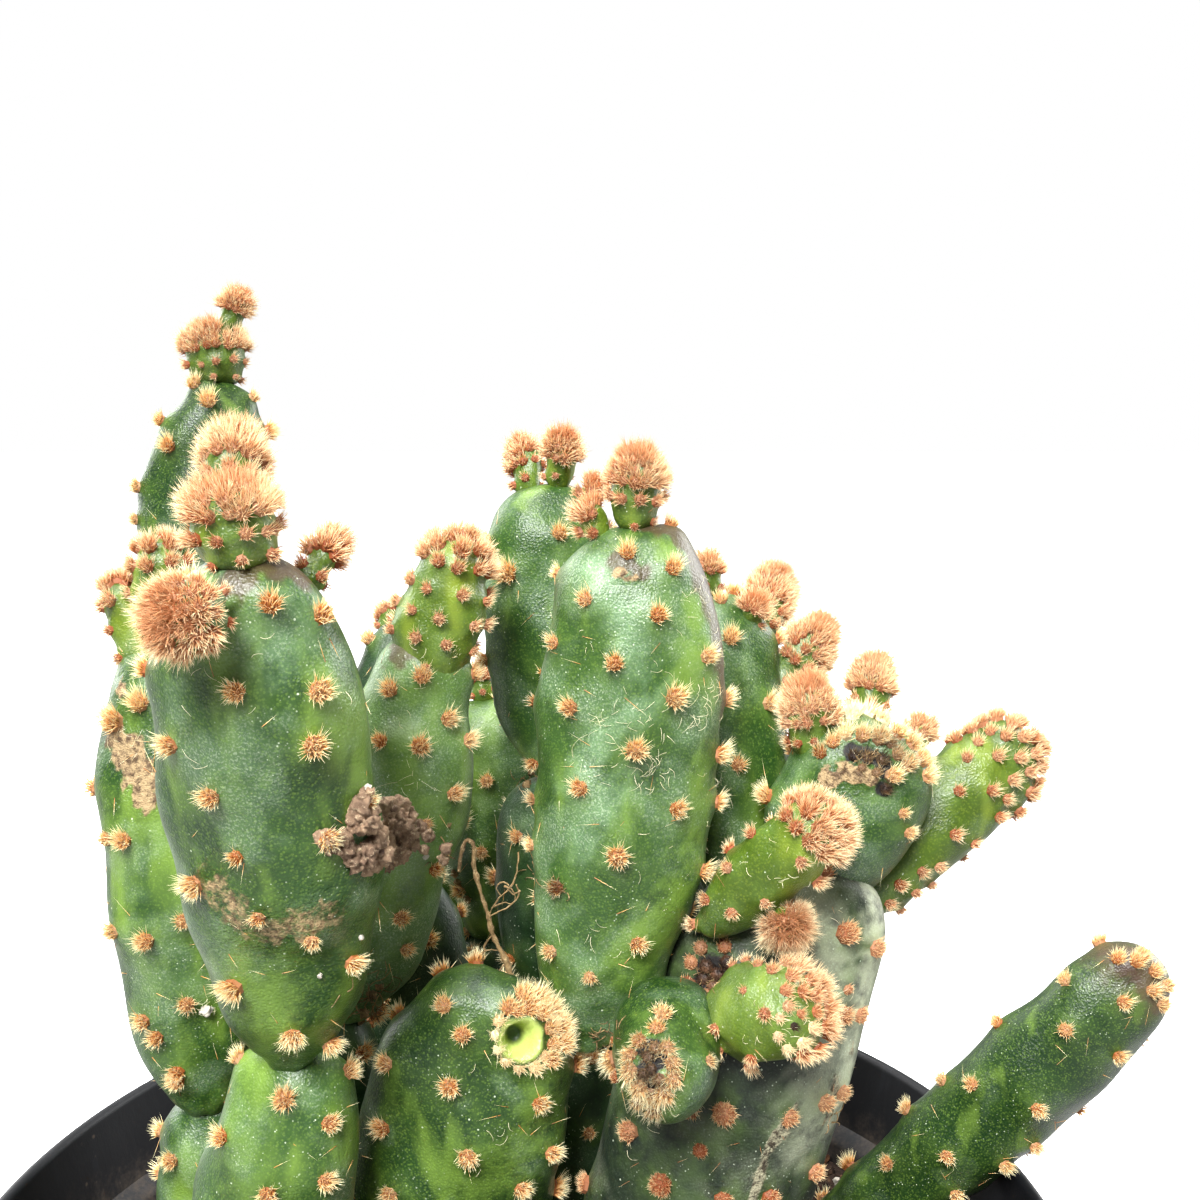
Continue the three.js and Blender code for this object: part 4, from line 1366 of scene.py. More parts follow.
class Clump:
    """All the grown segments: where they meet, where their tufts grow, and their finished pieces."""

    def __init__(self, segments: Sequence[Segment], camera: PhotoCamera, shop: Workshop) -> None:
        """Takes the segments, the photo's camera, which places what the photo shows, and the workshop."""
        self.segments = segments
        self.camera = camera
        self.shop = shop
        self.trees = {s.name: s.tree() for s in segments}
        self.tufts = TuftTree()

    def _on_surface(self, segment: Segment, spot: Spot) -> tuple[Array, Array]:
        """Where a pixel's line of sight meets a segment, or passes nearest to it, and the normal there."""
        tree = self.trees[segment.name]
        start, heading = self.camera.ray(spot)
        place, normal, *_ = tree.ray_cast(start, heading)
        if place is None:
            middle, _ = segment.guide(np.array([0.5]))
            reach = (Vector(middle[0]) - start).dot(heading)
            place, normal, *_ = tree.find_nearest(start + heading * reach)
        return np.array(place), np.array(normal)

    def look(self, spot: Spot) -> tuple[Array, Array] | None:
        """The place and normal of the first surface that a pixel's line of sight meets, if any."""
        hits = [tree.ray_cast(*self.camera.ray(spot)) for tree in self.trees.values()]
        hits = [hit for hit in hits if hit[0] is not None]
        if not hits:
            return None
        place, normal, *_ = min(hits, key=lambda hit: hit[3])
        return np.array(place), np.array(normal)

    def _buried(self, point: Array, own: str) -> bool:
        """Whether a point lies inside another segment, in the soil or against its surface."""
        if point[2] < SOIL_LEVEL + SOIL_GAP:
            return True
        for tree in (tree for name, tree in self.trees.items() if name != own):
            place, normal, _, distance = tree.find_nearest(Vector(point), 12.0)
            if place is not None and ((Vector(point) - place).dot(normal) < 0 or distance < SKIN_GAP):
                return True
        return False

    def _seen(self, segment: Segment) -> Areoles:
        """The tufts that the photo shows on a segment; their size is 1, without dirt, unless given."""
        spots = [(*spot, *(0, 0, 1.0, 0.0)[len(spot) :]) for spot in SEEN_TUFTS.get(segment.name, ())]
        if not spots:
            return Areoles.of([], [], [], [], [])
        places, normals = map(np.array, zip(*(self._on_surface(segment, spot) for spot in spots)))
        _, _, sizes, dirt = zip(*spots)
        steps = np.linspace(0, 1, 60)
        line, _ = segment.guide(steps)
        shares = steps[np.linalg.norm(places[:, None] - line[None], axis=2).argmin(axis=1)]
        return Areoles.of(places, normals, sizes, self._reaches(segment, shares), shares, dirt=dirt)

    @staticmethod
    def _reaches(segment: Segment, shares: Sequence[float]) -> Array:
        """How long the bristles are at shares of a segment's length, as shares of its style's."""
        habit: Habit = segment.age.value
        return np.array([1 + (habit.mop - 1) * habit.crowding(share) for share in shares])

    def _rows(self, segment: Segment, rng: Generator) -> Areoles:
        """Staggered rows of areoles all over a segment."""
        habit: Habit = segment.age.value
        length = segment.length()
        spots: list[Spot] = []
        share_at, reach = segment.meridian()
        run, row, gap = 0.45 * habit.spacing, 0, habit.spacing
        while run < reach[-1] - 0.3 * gap:
            share = float(np.interp(run, reach, share_at))
            gap = habit.spacing_at(share)
            count = max(1, round(segment.girth(share) / gap))
            shift = 0.5 * (row % 2) + rng.uniform(-JITTER, JITTER)
            for angle in segment.even_angles(share, count, shift):
                near = share + rng.uniform(-JITTER, JITTER) * gap / length
                spots.append((min(LAST_SHARE, max(1 - LAST_SHARE, near)), angle + rng.uniform(-0.1, 0.1)))
            run += ROW_STEP * gap
            row += 1
        shares, angles = np.array([*spots, (LAST_SHARE, 0.0)]).T
        sizes = rng.uniform(0.86, 1.14, shares.size)
        if habit.mop > 1:
            sizes *= [1 + 0.3 * habit.crowding(share) for share in shares]
        points, normals = segment.surface(shares, angles), segment.normals(shares, angles)
        return Areoles.of(points, normals, sizes, self._reaches(segment, shares), shares)

    def _strays(self, segment: Segment, rng: Generator) -> Areoles:
        """Loose bristles that lie about on the skin."""
        count = int(STRAYS_PER_AREA * segment.length() * segment.girth(0.5))
        share, angle = rng.uniform(0.06, 0.96, count), rng.uniform(0, 2 * math.pi, count)
        sizes = rng.uniform(0.5, 1.0, count)
        points, normals = segment.surface(share, angle), segment.normals(share, angle)
        return Areoles.of(points, normals, sizes, 1.0, share, stray=1.0)

    def _fineness(self, areoles: Areoles, own: str) -> Array:
        """1 for each areole that the photo's view shows, and less for the others, which it hides."""
        others = [tree for name, tree in self.trees.items() if name != own]
        fine = np.full(len(areoles.points), HIDDEN_FINENESS)
        for number, (point, normal) in enumerate(zip(areoles.points, areoles.normals)):
            start = Vector(point) + 0.8 * Vector(normal)
            way = Vector(self.camera.place) - start
            if way.normalized().dot(Vector(normal)) >= TURNED_AWAY:
                if all(tree.ray_cast(start, way)[0] is None for tree in others):
                    fine[number] = 1.0
        return fine

    def areoles(self, segment: Segment, rng: Generator) -> Areoles:
        """All the areoles of a segment: those in the photo, and rows where it shows none."""
        seen, rows = self._seen(segment), self._rows(segment, rng)
        gap = SEEN_GAP * np.array([segment.age.value.spacing_at(share) for share in rows.shares])
        places = rows.points + 0.4 * rows.normals
        clear = np.array([not self._buried(place, segment.name) for place in places])
        if len(seen.points):
            clear &= np.linalg.norm(rows.points[:, None] - seen.points[None], axis=2).min(axis=1) > gap
        joined = Areoles.join((seen, rows.keep(clear)))
        joined.fine = self._fineness(joined, segment.name)
        return joined

    def make(self) -> None:
        """Makes the skin and the tufts of every segment."""
        for number, segment in enumerate(self.segments):
            rng = np.random.default_rng(SEED + number)
            areoles = self.areoles(segment, rng)
            marks = [
                (mark, np.array([self._on_surface(segment, spot)[0] for spot in mark.spots]))
                for mark in MARKS.get(segment.name, ())
            ]
            relief = Relief(segment, areoles, marks, rng)
            self._skin(segment, relief)
            if len(areoles.points):
                self._tufts(segment, relief, Areoles.join((areoles, self._strays(segment, rng))), number)

    def _skin(self, segment: Segment, relief: Relief) -> None:
        """Makes a segment's skin."""
        habit, name = relief.habit, segment.name + "_skin"
        rings, sides = round(habit.rings * segment.detail), round(habit.sides * segment.detail)
        shares, angles, faces = segment.grid(rings, sides)
        plain = segment.surface(shares, angles)
        points = plain + segment.normals(shares, angles) * relief.height(plain, shares)[:, None]
        mesh = self.shop.mesh(name, points, faces, relief.masks(plain, shares))
        slot = {GREY: "old_skin", LIGHT: "young_skin"}.get(habit.skin, "skin")
        self.shop.finish(name, mesh, habit.skin, slot, segment.name)

    def _tufts(self, segment: Segment, relief: Relief, areoles: Areoles, number: int) -> None:
        """Makes a segment's tufts and the loose bristles on it; the segment's number seeds them."""
        lift = relief.height(areoles.points, areoles.shares) - SUNK * (1 - areoles.stray)
        bed = bpy.data.meshes.new("areoles")
        bed.from_pydata(((areoles.points + areoles.normals * lift[:, None]) * MM).tolist(), [], [])
        _, along = segment.guide(areoles.shares)
        layers = {
            "outward": areoles.normals,
            "upward": along - (along * areoles.normals).sum(axis=1, keepdims=True) * areoles.normals,
            "size": areoles.sizes, "reach": areoles.reaches, "fine": areoles.fine, "stray": areoles.stray,
            "dirt": np.clip(areoles.dirt + segment.dirt, -1, 1),
            "core": smooth(0.8, 1.0, areoles.shares) * min(1.0, 2 * (relief.habit.mop - 1)),
        }
        for key, values in layers.items():
            store(bed, key, values)
        style, name = relief.habit.tufts, segment.name + "_tufts"
        values = self.tufts.values(style, number + 1)
        mesh = self.shop.grow(name, bed, self.tufts.graph.tree, values)
        self.shop.finish(name, mesh, style.finish, "bristles")


@dataclass
class NurseryPot:
    """The moulded pot: a tapering wall, a stepped collar and a floor with a raised ring of drains."""

    shop: Workshop
    rim_radius: float = 50.0
    base_radius: float = 35.0
    wall: float = 1.3
    collar_height: float = 10.5
    collar_step: float = 1.7
    lip_radius: float = 0.65
    floor: float = 1.8
    channel_inner: float = 18.0
    channel_outer: float = 30.5
    channel_rise: float = 2.6
    channel_slope: float = 1.2
    drains: int = 6
    drain_radius: float = 3.5
    notch_width: float = 6.0
    sides: int = 192

    def wall_radius(self, height: float) -> float:
        """The wall's outer radius at a height."""
        widening = self.rim_radius - self.collar_step - self.base_radius
        return self.base_radius + widening * height / POT_HEIGHT

    def _profile(self) -> list[Spot]:
        """The wall's section, from the middle of the underside round to that of the floor."""
        foot = POT_HEIGHT - self.collar_height
        outer = self.wall_radius(foot)
        top = self.channel_rise + self.floor
        inner, outer_ring, slope = self.channel_inner, self.channel_outer, self.channel_slope
        bend = self.lip_radius
        lip = [
            (self.rim_radius - bend + bend * math.cos(a), POT_HEIGHT - bend + bend * math.sin(a))
            for a in np.linspace(0, math.pi, 9)
        ]
        return [
            (0, 0), (inner - slope, 0), (inner, self.channel_rise), (outer_ring, self.channel_rise),
            (outer_ring + slope, 0), (self.base_radius - 0.9, 0), (self.base_radius - 0.3, 0.25),
            (self.base_radius, 0.9), (self.wall_radius(foot * 0.5), foot * 0.5), (outer, foot - 0.5),
            (outer + 0.25, foot), (outer + self.collar_step - 0.4, foot + 0.2),
            (outer + self.collar_step, foot + 0.8), *lip,
            (self.rim_radius - self.wall - 0.1, POT_HEIGHT - 1.2),
            (outer + self.collar_step - self.wall, foot + 1.8), (outer - self.wall + 0.2, foot + 0.6),
            (outer - self.wall, foot), (self.wall_radius(top) - self.wall, top + 0.8), (outer_ring, top),
            (inner, top), (inner - slope - 0.6, self.floor), (0, self.floor),
        ]

    def _turned(self, profile: Sequence[Spot]) -> Shape:
        """The points and faces of a profile that is turned about the axis."""
        angle = 2 * math.pi * np.arange(self.sides) / self.sides
        flat = np.stack((np.cos(angle), np.sin(angle), 0 * angle), axis=1)
        rings = [radius * flat + (0, 0, height) for radius, height in profile[1:-1]]
        ends = [[(0, 0, height)] for _, height in (profile[0], profile[-1])]
        return np.concatenate((ends[0], *rings, ends[1])), closed_grid_faces(len(rings), self.sides)

    def _cutters(self) -> bpy.types.Object:
        """The drains and the notches, as one solid to cut away."""
        cut = bmesh.new()
        middle, radius = (self.channel_inner + self.channel_outer) / 2, self.drain_radius * MM
        reach = 2 * (self.base_radius - self.channel_outer)
        notch = Vector((reach, self.notch_width, self.channel_rise)) * MM
        level = self.channel_rise + self.floor / 2
        for number in range(self.drains):
            angle = 2 * math.pi * number / self.drains
            sizes = {"radius1": radius, "radius2": radius, "depth": 8 * MM}
            drain = bmesh.ops.create_cone(cut, cap_ends=True, segments=40, **sizes)["verts"]
            place = Vector((middle * math.cos(angle), middle * math.sin(angle), level))
            bmesh.ops.translate(cut, verts=drain, vec=place * MM)
            block = bmesh.ops.create_cube(cut, size=1.0)["verts"]
            bmesh.ops.scale(cut, verts=block, vec=notch)
            bmesh.ops.translate(cut, verts=block, vec=(self.base_radius * MM, 0, 0))
            spin = Matrix.Rotation(angle, 3, Vector((0, 0, 1)))
            bmesh.ops.rotate(cut, verts=block, cent=(0, 0, 0), matrix=spin)
        mesh = bpy.data.meshes.new("cutters")
        cut.to_mesh(mesh)
        cut.free()
        return add_object("cutters", mesh)

    def make(self) -> None:
        """Makes the pot."""
        body = add_object("pot_blank", self.shop.mesh("pot_blank", *self._turned(self._profile())))
        modifier = body.modifiers.new("cut", "BOOLEAN")
        modifier.operation = "DIFFERENCE"
        modifier.object = self._cutters()
        mesh = evaluated(body)
        for done in (modifier.object, body):
            bpy.data.objects.remove(done)
        mesh.set_sharp_from_angle(angle=POT_CREASE)
        self._dust(mesh)
        self.shop.finish("nursery_pot", mesh, PotFinish(), "pot", "pot")

    def _dust(self, mesh: Mesh) -> None:
        """Marks where soil dust clings: inside, more towards the soil, and a little all over the outside."""
        points = np.zeros(len(mesh.vertices) * 3, np.float32)
        mesh.vertices.foreach_get("co", points)
        x, y, z = points.reshape(-1, 3).T / MM
        outer = np.array([self.wall_radius(height) for height in z])
        outer += self.collar_step * (z > POT_HEIGHT - self.collar_height - 0.5)
        inside = np.hypot(x, y) < outer - 0.6 * self.wall
        store(mesh, "dust", np.where(inside, smooth(POT_HEIGHT + 4, SOIL_LEVEL, z), 0.25))


class ChipTree(GrowthTree):
    """The tree that strews broken chips over a surface."""

    def __init__(self) -> None:
        """Builds the tree."""
        sizes = ("Density", "Smallest", "Largest", "Slenderness")
        super().__init__("chips", {**dict.fromkeys(sizes, "Float"), "Facets": "Int"})
        graph, given = self.graph, self.given
        values = {"Mesh": given, "Density": given.output("Density"), "Seed": given.output("Seed")}
        spots = graph.add("GeometryNodeDistributePointsOnFaces", {}, values, "Points")
        values = {"Radius": 1.0, "Subdivisions": given.output("Facets")}
        chip = graph.add("GeometryNodeMeshIcoSphere", {}, values, "Mesh")
        small, slender = given.output("Smallest"), given.output("Slenderness")
        size = small + self.random(0.0, 1.0, 2) ** 2.2 * (given.output("Largest") - small)
        narrow = size * (1 - slender * self.random(0.3, 1.0, 3))
        scale = self.xyz(size, narrow, size * (1 - slender * self.random(0.6, 1.1, 4)))
        spin = self.random((-3.1,) * 3, (3.1,) * 3, 1, "FLOAT_VECTOR")
        turned = graph.add("FunctionNodeEulerToRotation", {}, {"Euler": spin})
        chips = self.marked(self.planted(spots, chip, turned, scale), "tint", self.random(0.0, 1.0, 9))
        values = {"Geometry": self.real(chips), "Offset": self._breakage()}
        self.close(graph.add("GeometryNodeSetPosition", {}, values))

    def _breakage(self) -> Wire:
        """Offsets that make the chips angular."""
        place = self.graph.add("GeometryNodeInputPosition")
        values = {"Vector": place, "Scale": 1 / (0.9 * MM), "Detail": 2.0}
        jag = self.graph.add("ShaderNodeTexNoise", {}, values, "Color")
        jag = self.vector("SUBTRACT", jag, (0.5, 0.5, 0.5))
        return self.vector("SCALE", jag, self.given.output("Largest") * 0.55)


@dataclass
class PottingSoil:
    """The soil: a rough surface with bark, grit and pale grains strewn over it."""

    shop: Workshop
    pot: NurseryPot
    stems: Sequence[Segment]
    rings: int = 64
    sides: int = 150
    crown: float = 1.2

    def _height(self, x: float, y: float) -> float:
        """The surface's height above the soil level, lumpy and heaped at the stems."""
        place = Vector((x, y, 0))
        lumps = 0.9 * noise.fractal(place / 7, 0.9, 2.2, 4) + 0.35 * noise.fractal(place / 1.8, 0.8, 2.1, 4)
        heap = 0.0
        for grown in self.stems:
            away = math.hypot(x - grown.base[0], y - grown.base[1]) - 0.4 * grown.width
            heap = max(heap, 1.3 * math.exp(-max(0.0, away) / 3.0))
        return self.crown * (1 - math.hypot(x, y) / self.pot.rim_radius) + lumps + heap - 0.6

    def _surface(self) -> tuple[Array, Array]:
        """The points of the top in rings from the middle out, and of the side and the underside."""
        reach = self.pot.wall_radius(SOIL_LEVEL) - self.pot.wall - 0.05
        angle = 2 * math.pi * np.arange(self.sides) / self.sides
        rings = []
        for radius in np.linspace(0, reach, self.rings + 1)[1:]:
            ring = [(radius * math.cos(a), radius * math.sin(a)) for a in angle]
            rings.append(np.array([(x, y, SOIL_LEVEL + self._height(x, y)) for x, y in ring]))
        low = self.pot.channel_rise + self.pot.floor + 0.3
        edge = self.pot.wall_radius(low) - self.pot.wall - 0.3
        under = np.stack((edge * np.cos(angle), edge * np.sin(angle), np.full(self.sides, low)), axis=1)
        return np.array(rings), under

    def make(self) -> None:
        """Makes the soil and what is strewn over it."""
        rings, under = self._surface()
        top = np.array([(0, 0, SOIL_LEVEL + self._height(0, 0))])
        points = np.concatenate(([(0, 0, under[0, 2])], under, *rings[::-1], top))
        faces = closed_grid_faces(self.rings + 1, self.sides)
        mesh = self.shop.mesh("potting_soil", points, faces, {"tint": np.full(len(points), 0.4)})
        earth = LitterFinish("soil", srgb(26, 18, 13), srgb(64, 44, 31), srgb(112, 84, 60))
        self.shop.finish("potting_soil", mesh, earth, "soil", "soil")
        bark = LitterFinish("bark_chips", srgb(44, 27, 18), srgb(104, 70, 46), srgb(158, 120, 86), grain=0.5)
        chips = ChipTree()
        layers = (
            ("bark_chips", bark, 0.1e6, 1.0, 3.0, 0.8, 2, 11),
            ("soil_crumbs", earth, 0.42e6, 0.3, 1.15, 0.45, 1, 12),
            ("soil_grit", bark, 0.2e6, 0.2, 0.75, 0.3, 1, 13),
        )
        for name, look, density, small, large, slender, facets, seed in layers:
            values = {
                "Density": density, "Smallest": small * MM, "Largest": large * MM,
                "Slenderness": slender, "Facets": facets, "Seed": seed, "Material": look.material(),
            }
            bed = self._bed(np.concatenate((*rings[::-1][1:], top)))
            self.shop.finish(name, self.shop.grow(name, bed, chips.graph.tree, values), look, "soil")

    def _bed(self, points: Array) -> Mesh:
        """The open top of the soil, which chips are strewn on."""
        faces = [face for face in closed_grid_faces(self.rings - 1, self.sides) if 0 not in face]
        return self.shop.mesh("bed", points, [tuple(i - 1 for i in face) for face in faces])


def tube(route: Array, radii: Array, sides: int) -> Shape:
    """A closed tube along a route.

    Args:
        route, radii: The points that it follows, and its radius at each.
        sides: How many sides it has.

    Returns:
        Its points and faces.
    """
    heading = np.gradient(route, axis=0)
    heading /= np.linalg.norm(heading, axis=1, keepdims=True)
    across = np.cross(heading, (0.3, 0.9, 0.2))
    across /= np.linalg.norm(across, axis=1, keepdims=True)
    through = np.cross(heading, across)
    angle = 2 * math.pi * np.arange(sides) / sides
    rings = [
        centre + radius * (np.cos(angle)[:, None] * a + np.sin(angle)[:, None] * b)
        for centre, radius, a, b in zip(route, radii, across, through)
    ]
    ends = [route[:1] - heading[:1] * radii[0] * 0.5, route[-1:] + heading[-1:] * radii[-1] * 0.5]
    return np.concatenate((ends[0], *rings, ends[1])), closed_grid_faces(len(rings), sides)


def merged(shapes: Sequence[Shape]) -> Shape:
    """The points and faces of several shapes as one."""
    faces: list[tuple[int, ...]] = []
    start = 0
    for points, own in shapes:
        faces += [tuple(i + start for i in face) for face in own]
        start += len(points)
    return np.concatenate([points for points, _ in shapes]), faces


def spline(points: Array, steps: int) -> Array:
    """A smooth line of so many steps through points."""
    padded = np.concatenate((2 * points[:1] - points[1:2], points, 2 * points[-1:] - points[-2:-1]))
    line = []
    for place in np.linspace(0, len(points) - 1, steps):
        first = min(int(place), len(points) - 2)
        t = place - first
        a, b, c, d = padded[first : first + 4]
        square, cube = 2 * a - 5 * b + 4 * c - d, 3 * b - a - 3 * c + d
        line.append(0.5 * (2 * b + (c - a) * t + square * t**2 + cube * t**3))
    return np.array(line)


@dataclass(frozen=True)
class Patch:
    """A patch of fine loose strands on the skin, about a pixel of the photo."""

    spot: Spot
    spread: Spot
    count: int
    length: float = 1.0
    curl: float = 1.6


def patches(*rows: tuple[Any, ...]) -> tuple[Patch, ...]:
    """Patches from rows of their fields."""
    return tuple(Patch(*row) for row in rows)


@dataclass
class LooseStrands:
    """Fine curled strands that lie on the skin in patches."""

    clump: Clump
    name: str
    finish: Finish
    slot: str
    radius: float
    patches: Sequence[Patch]
    joints: int = 7

    def _route(self, patch: Patch, place: Array, normal: Array, rng: Generator) -> Array:
        """The points of a strand that leaves the skin, curls over it and comes back to it.

        Args:
            patch: The patch that it is in.
            place, normal: Where it leaves the skin, and the outward direction.
            rng: Where the random numbers come from.

        Returns:
            The points.
        """
        heading = np.cross(normal, rng.normal(size=3))
        heading /= np.linalg.norm(heading)
        aside = np.cross(normal, heading)
        step = patch.length * rng.uniform(0.6, 1.4) / (self.joints - 1)
        turns = np.cumsum(rng.normal(rng.uniform(-1, 1) * patch.curl, 0.35, self.joints) / (self.joints - 1))
        steps = step * (np.cos(turns)[:, None] * heading + np.sin(turns)[:, None] * aside)
        rise = 0.5 * patch.length * rng.uniform(0.2, 0.9) * np.sin(np.linspace(0, 2.6, self.joints))
        return place + np.cumsum(steps, axis=0) + rise[:, None] * normal

    def make(self) -> None:
        """Makes all the strands as one piece."""
        rng = np.random.default_rng(SEED + len(self.name))
        strands: list[Shape] = []
        for patch in (patch for patch in self.patches for _ in range(patch.count)):
            found = self.clump.look(np.array(patch.spot) + rng.normal(0, 1, 2) * patch.spread)
            if found is not None:
                route = self._route(patch, *found, rng)
                strands.append(tube(route, self.radius * np.linspace(1.1, 0.5, self.joints), 3))
        points, faces = merged(strands)
        tints = rng.uniform(0, 0.9, len(strands)).repeat([len(strand) for strand, _ in strands])
        layers = {"tint": tints, "along": np.full(len(points), 0.5)}
        mesh = self.clump.shop.mesh(self.name, points, faces, layers)
        self.clump.shop.finish(self.name, mesh, self.finish, self.slot)


PALE_HAIRS = patches(
    ((640, 716), (12, 8), 26), ((700, 700), (9, 16), 26), ((688, 590), (9, 10), 16),
    ((650, 735), (12, 10), 14), ((655, 770), (9, 8), 18), ((640, 770), (8, 12), 10),
    ((590, 640), (8, 8), 8), ((602, 725), (8, 8), 10), ((660, 655), (14, 16), 10),
    ((715, 770), (6, 24), 16), ((712, 640), (6, 24), 14), ((578, 785), (14, 12), 12),
    ((655, 850), (20, 26), 10), ((708, 850), (5, 20), 8), ((600, 930), (20, 16), 6),
    ((410, 775), (12, 10), 10, 1.3, 0.5), ((430, 700), (16, 26), 8),
    ((240, 700), (40, 60), 10), ((500, 1090), (24, 30), 8), ((775, 870), (30, 18), 18, 0.6),
    ((790, 905), (14, 10), 10, 0.6), ((860, 728), (14, 8), 22, 0.9),
    ((795, 1030), (12, 14), 12, 0.6), ((745, 1040), (18, 14), 6, 0.6),
    ((640, 1125), (20, 14), 6), ((835, 990), (8, 24), 8), ((120, 740), (14, 24), 12, 0.9),
    ((206, 1010), (7, 5), 14, 0.7),
)
TANGLES = patches(
    ((375, 985), (7, 5), 16, 1.6, 3.0), ((366, 1006), (6, 7), 14, 1.8, 2.4),
    ((352, 998), (5, 5), 6, 1.4, 2.4), ((434, 845), (8, 8), 12, 1.3, 3.0),
    ((528, 778), (4, 8), 8, 1.2, 3.0), ((530, 870), (4, 10), 6, 1.2, 2.0),
    ((706, 972), (10, 9), 26, 1.2, 3.0), ((868, 756), (13, 5), 20, 0.9, 3.0),
    ((650, 1064), (7, 10), 16, 0.9, 3.0), ((826, 1120), (7, 14), 10, 1.2, 2.0),
    ((606, 1032), (10, 5), 16, 1.2, 2.4), ((560, 888), (5, 6), 8, 0.8, 3.0),
)


@dataclass
class DryLitter:
    """The bark crumb that is caught between two pads, the dry root with its rootlets, and stray bits."""

    shop: Workshop
    clump: Clump
    crumb_ends: tuple[Spot, Spot] = ((316.0, -29.4), (415.0, -14.0))
    crumb_lumps: tuple[Triple, ...] = (
        (326, 838, 0.72), (332, 846, 0.6), (342, 836, 0.6), (345, 848, 0.62), (364, 797, 0.5),
        (359, 806, 0.7), (355, 815, 0.6), (362, 820, 0.85), (370, 812, 0.6), (372, 824, 0.62),
        (379, 832, 0.6), (350, 857, 0.62), (361, 856, 0.95), (369, 866, 0.66), (378, 852, 0.9),
        (386, 862, 0.66), (389, 806, 0.68), (400, 806, 0.7), (407, 817, 0.72), (398, 822, 0.85),
        (386, 842, 0.8), (405, 834, 0.9), (397, 852, 0.9), (412, 844, 0.6), (421, 828, 0.5),
        (428, 836, 0.5), (374, 842, 0.8), (424, 850, 0.36), (446, 848, 0.42), (443, 858, 0.4),
    )
    crumb_fringe: int = 60
    root_depth: float = -12.3
    root_radius: float = 0.17
    root_spots: tuple[Spot, ...] = (
        (459, 872), (460, 862), (463, 850), (467, 842), (472, 842), (474, 850), (473, 866), (477, 884),
        (482, 904), (487, 919), (491, 936), (497, 950), (504, 965), (508, 982), (510, 992),
    )
    rootlet_radius: float = 0.055
    rootlets: tuple[tuple[Spot, ...], ...] = (
        ((487, 919), (494, 907), (501, 896), (508, 889), (515, 877), (518, 863), (518, 851)),
        ((487, 919), (497, 912), (507, 907), (514, 899), (511, 890), (503, 887)),
        ((494, 907), (504, 903), (512, 904), (518, 896), (516, 886)),
        ((501, 896), (496, 888), (502, 882), (509, 884)),
        ((491, 936), (485, 945), (486, 952)),
        ((497, 950), (489, 950), (483, 952), (482, 958)),
        ((504, 965), (498, 972), (499, 980)),
        ((508, 889), (514, 894), (521, 891)),
    )
    bits: tuple[tuple[float, ...], ...] = (
        (455, 873, 0.34, 0.7), (458, 882, 0.36, 0.75), (463, 891, 0.38, 0.8), (468, 899, 0.36, 0.7),
        (425, 856, 0.24, 1.0), (360, 937, 0.18, 1.0), (320, 975, 0.16, 1.0), (206, 1010, 0.42, 1.0),
        (366, 787, 0.24, 1.0), (372, 992, 0.4, 0.3), (378, 984, 0.34, 0.2), (364, 1012, 0.4, 0.7),
        (360, 1022, 0.3, 0.8), (446, 824, 0.3, 0.1), (530, 772, 0.36, 0.1), (528, 786, 0.4, 0.2),
    )
    finish: LitterFinish = LitterFinish(
        "dry_litter", srgb(78, 60, 40), srgb(176, 146, 100), srgb(228, 202, 154), grain=0.3
    )

    def _lump(self, ball: bmesh.types.BMesh, centre: Any, radius: float, detail: int, rough: float) -> int:
        """Adds a rough lump.

        Args:
            ball: What it is added to.
            centre, radius: Its middle and radius.
            detail, rough: How finely it is divided, and how rough it is.

        Returns:
            How many points it has.
        """
        start = Vector(centre)
        made = bmesh.ops.create_icosphere(ball, subdivisions=detail, radius=1.0)["verts"]
        for vertex in made:
            way = vertex.co.copy()
            lumps = 0.5 * noise.fractal(way * 1.5 + start, 0.7, 2.2, 6)
            folds = -0.5 * abs(noise.fractal(way * 3.2 - start, 0.8, 2.1, 3))
            vertex.co = (start + way * radius * (1.12 + rough * (lumps + folds))) * MM
        return len(made)

    def _joined(self, name: str, lumps: Sequence[tuple[Any, float, int, float, float]]) -> Mesh:
        """A mesh of lumps, each given by its middle, radius, detail, roughness and tint."""
        ball = bmesh.new()
        tints = [tint for *lump, tint in lumps for _ in range(self._lump(ball, *lump))]
        mesh = bpy.data.meshes.new(name)
        ball.to_mesh(mesh)
        ball.free()
        mesh.polygons.foreach_set("use_smooth", [True] * len(mesh.polygons))
        store(mesh, "tint", tints)
        return mesh

    def _crumb(self) -> None:
        """Makes the crumb: lumps of bark and soil that cling together, with a fringe of small ones."""
        rng = np.random.default_rng(SEED + 3)
        (left, near), (right, far) = self.crumb_ends
        lumps = []
        for x, y, radius in self.crumb_lumps:
            depth = near + (far - near) * min(1.0, (x - left) / (right - left)) + rng.normal(0, 0.35)
            found = self.clump.look((x, y))
            if found is not None:
                depth = min(depth, found[0][1] - 0.5 * radius)
            centre = self.clump.camera.at_depth((x, y), depth)
            lumps.append((centre, radius, 4 if radius > 0.8 else 3, 1.0, rng.uniform(0.2, 0.85)))
        for _ in range(self.crumb_fringe):
            centre, radius, *_ = lumps[rng.integers(len(self.crumb_lumps))]
            way = rng.normal(size=3)
            centre = centre + way / np.linalg.norm(way) * radius
            lumps.append((centre, rng.uniform(0.12, 0.3), 2, 1.2, rng.uniform(0, 0.94)))
        mesh = self._joined("bark_crumb_rough", lumps)
        tones = srgb(74, 54, 46), srgb(192, 160, 128), srgb(240, 216, 178)
        bark = LitterFinish("bark_crumb", *tones, grain=0.3)
        self.shop.finish("bark_crumb_rough", mesh, bark, "dry_litter", "bark_crumb")

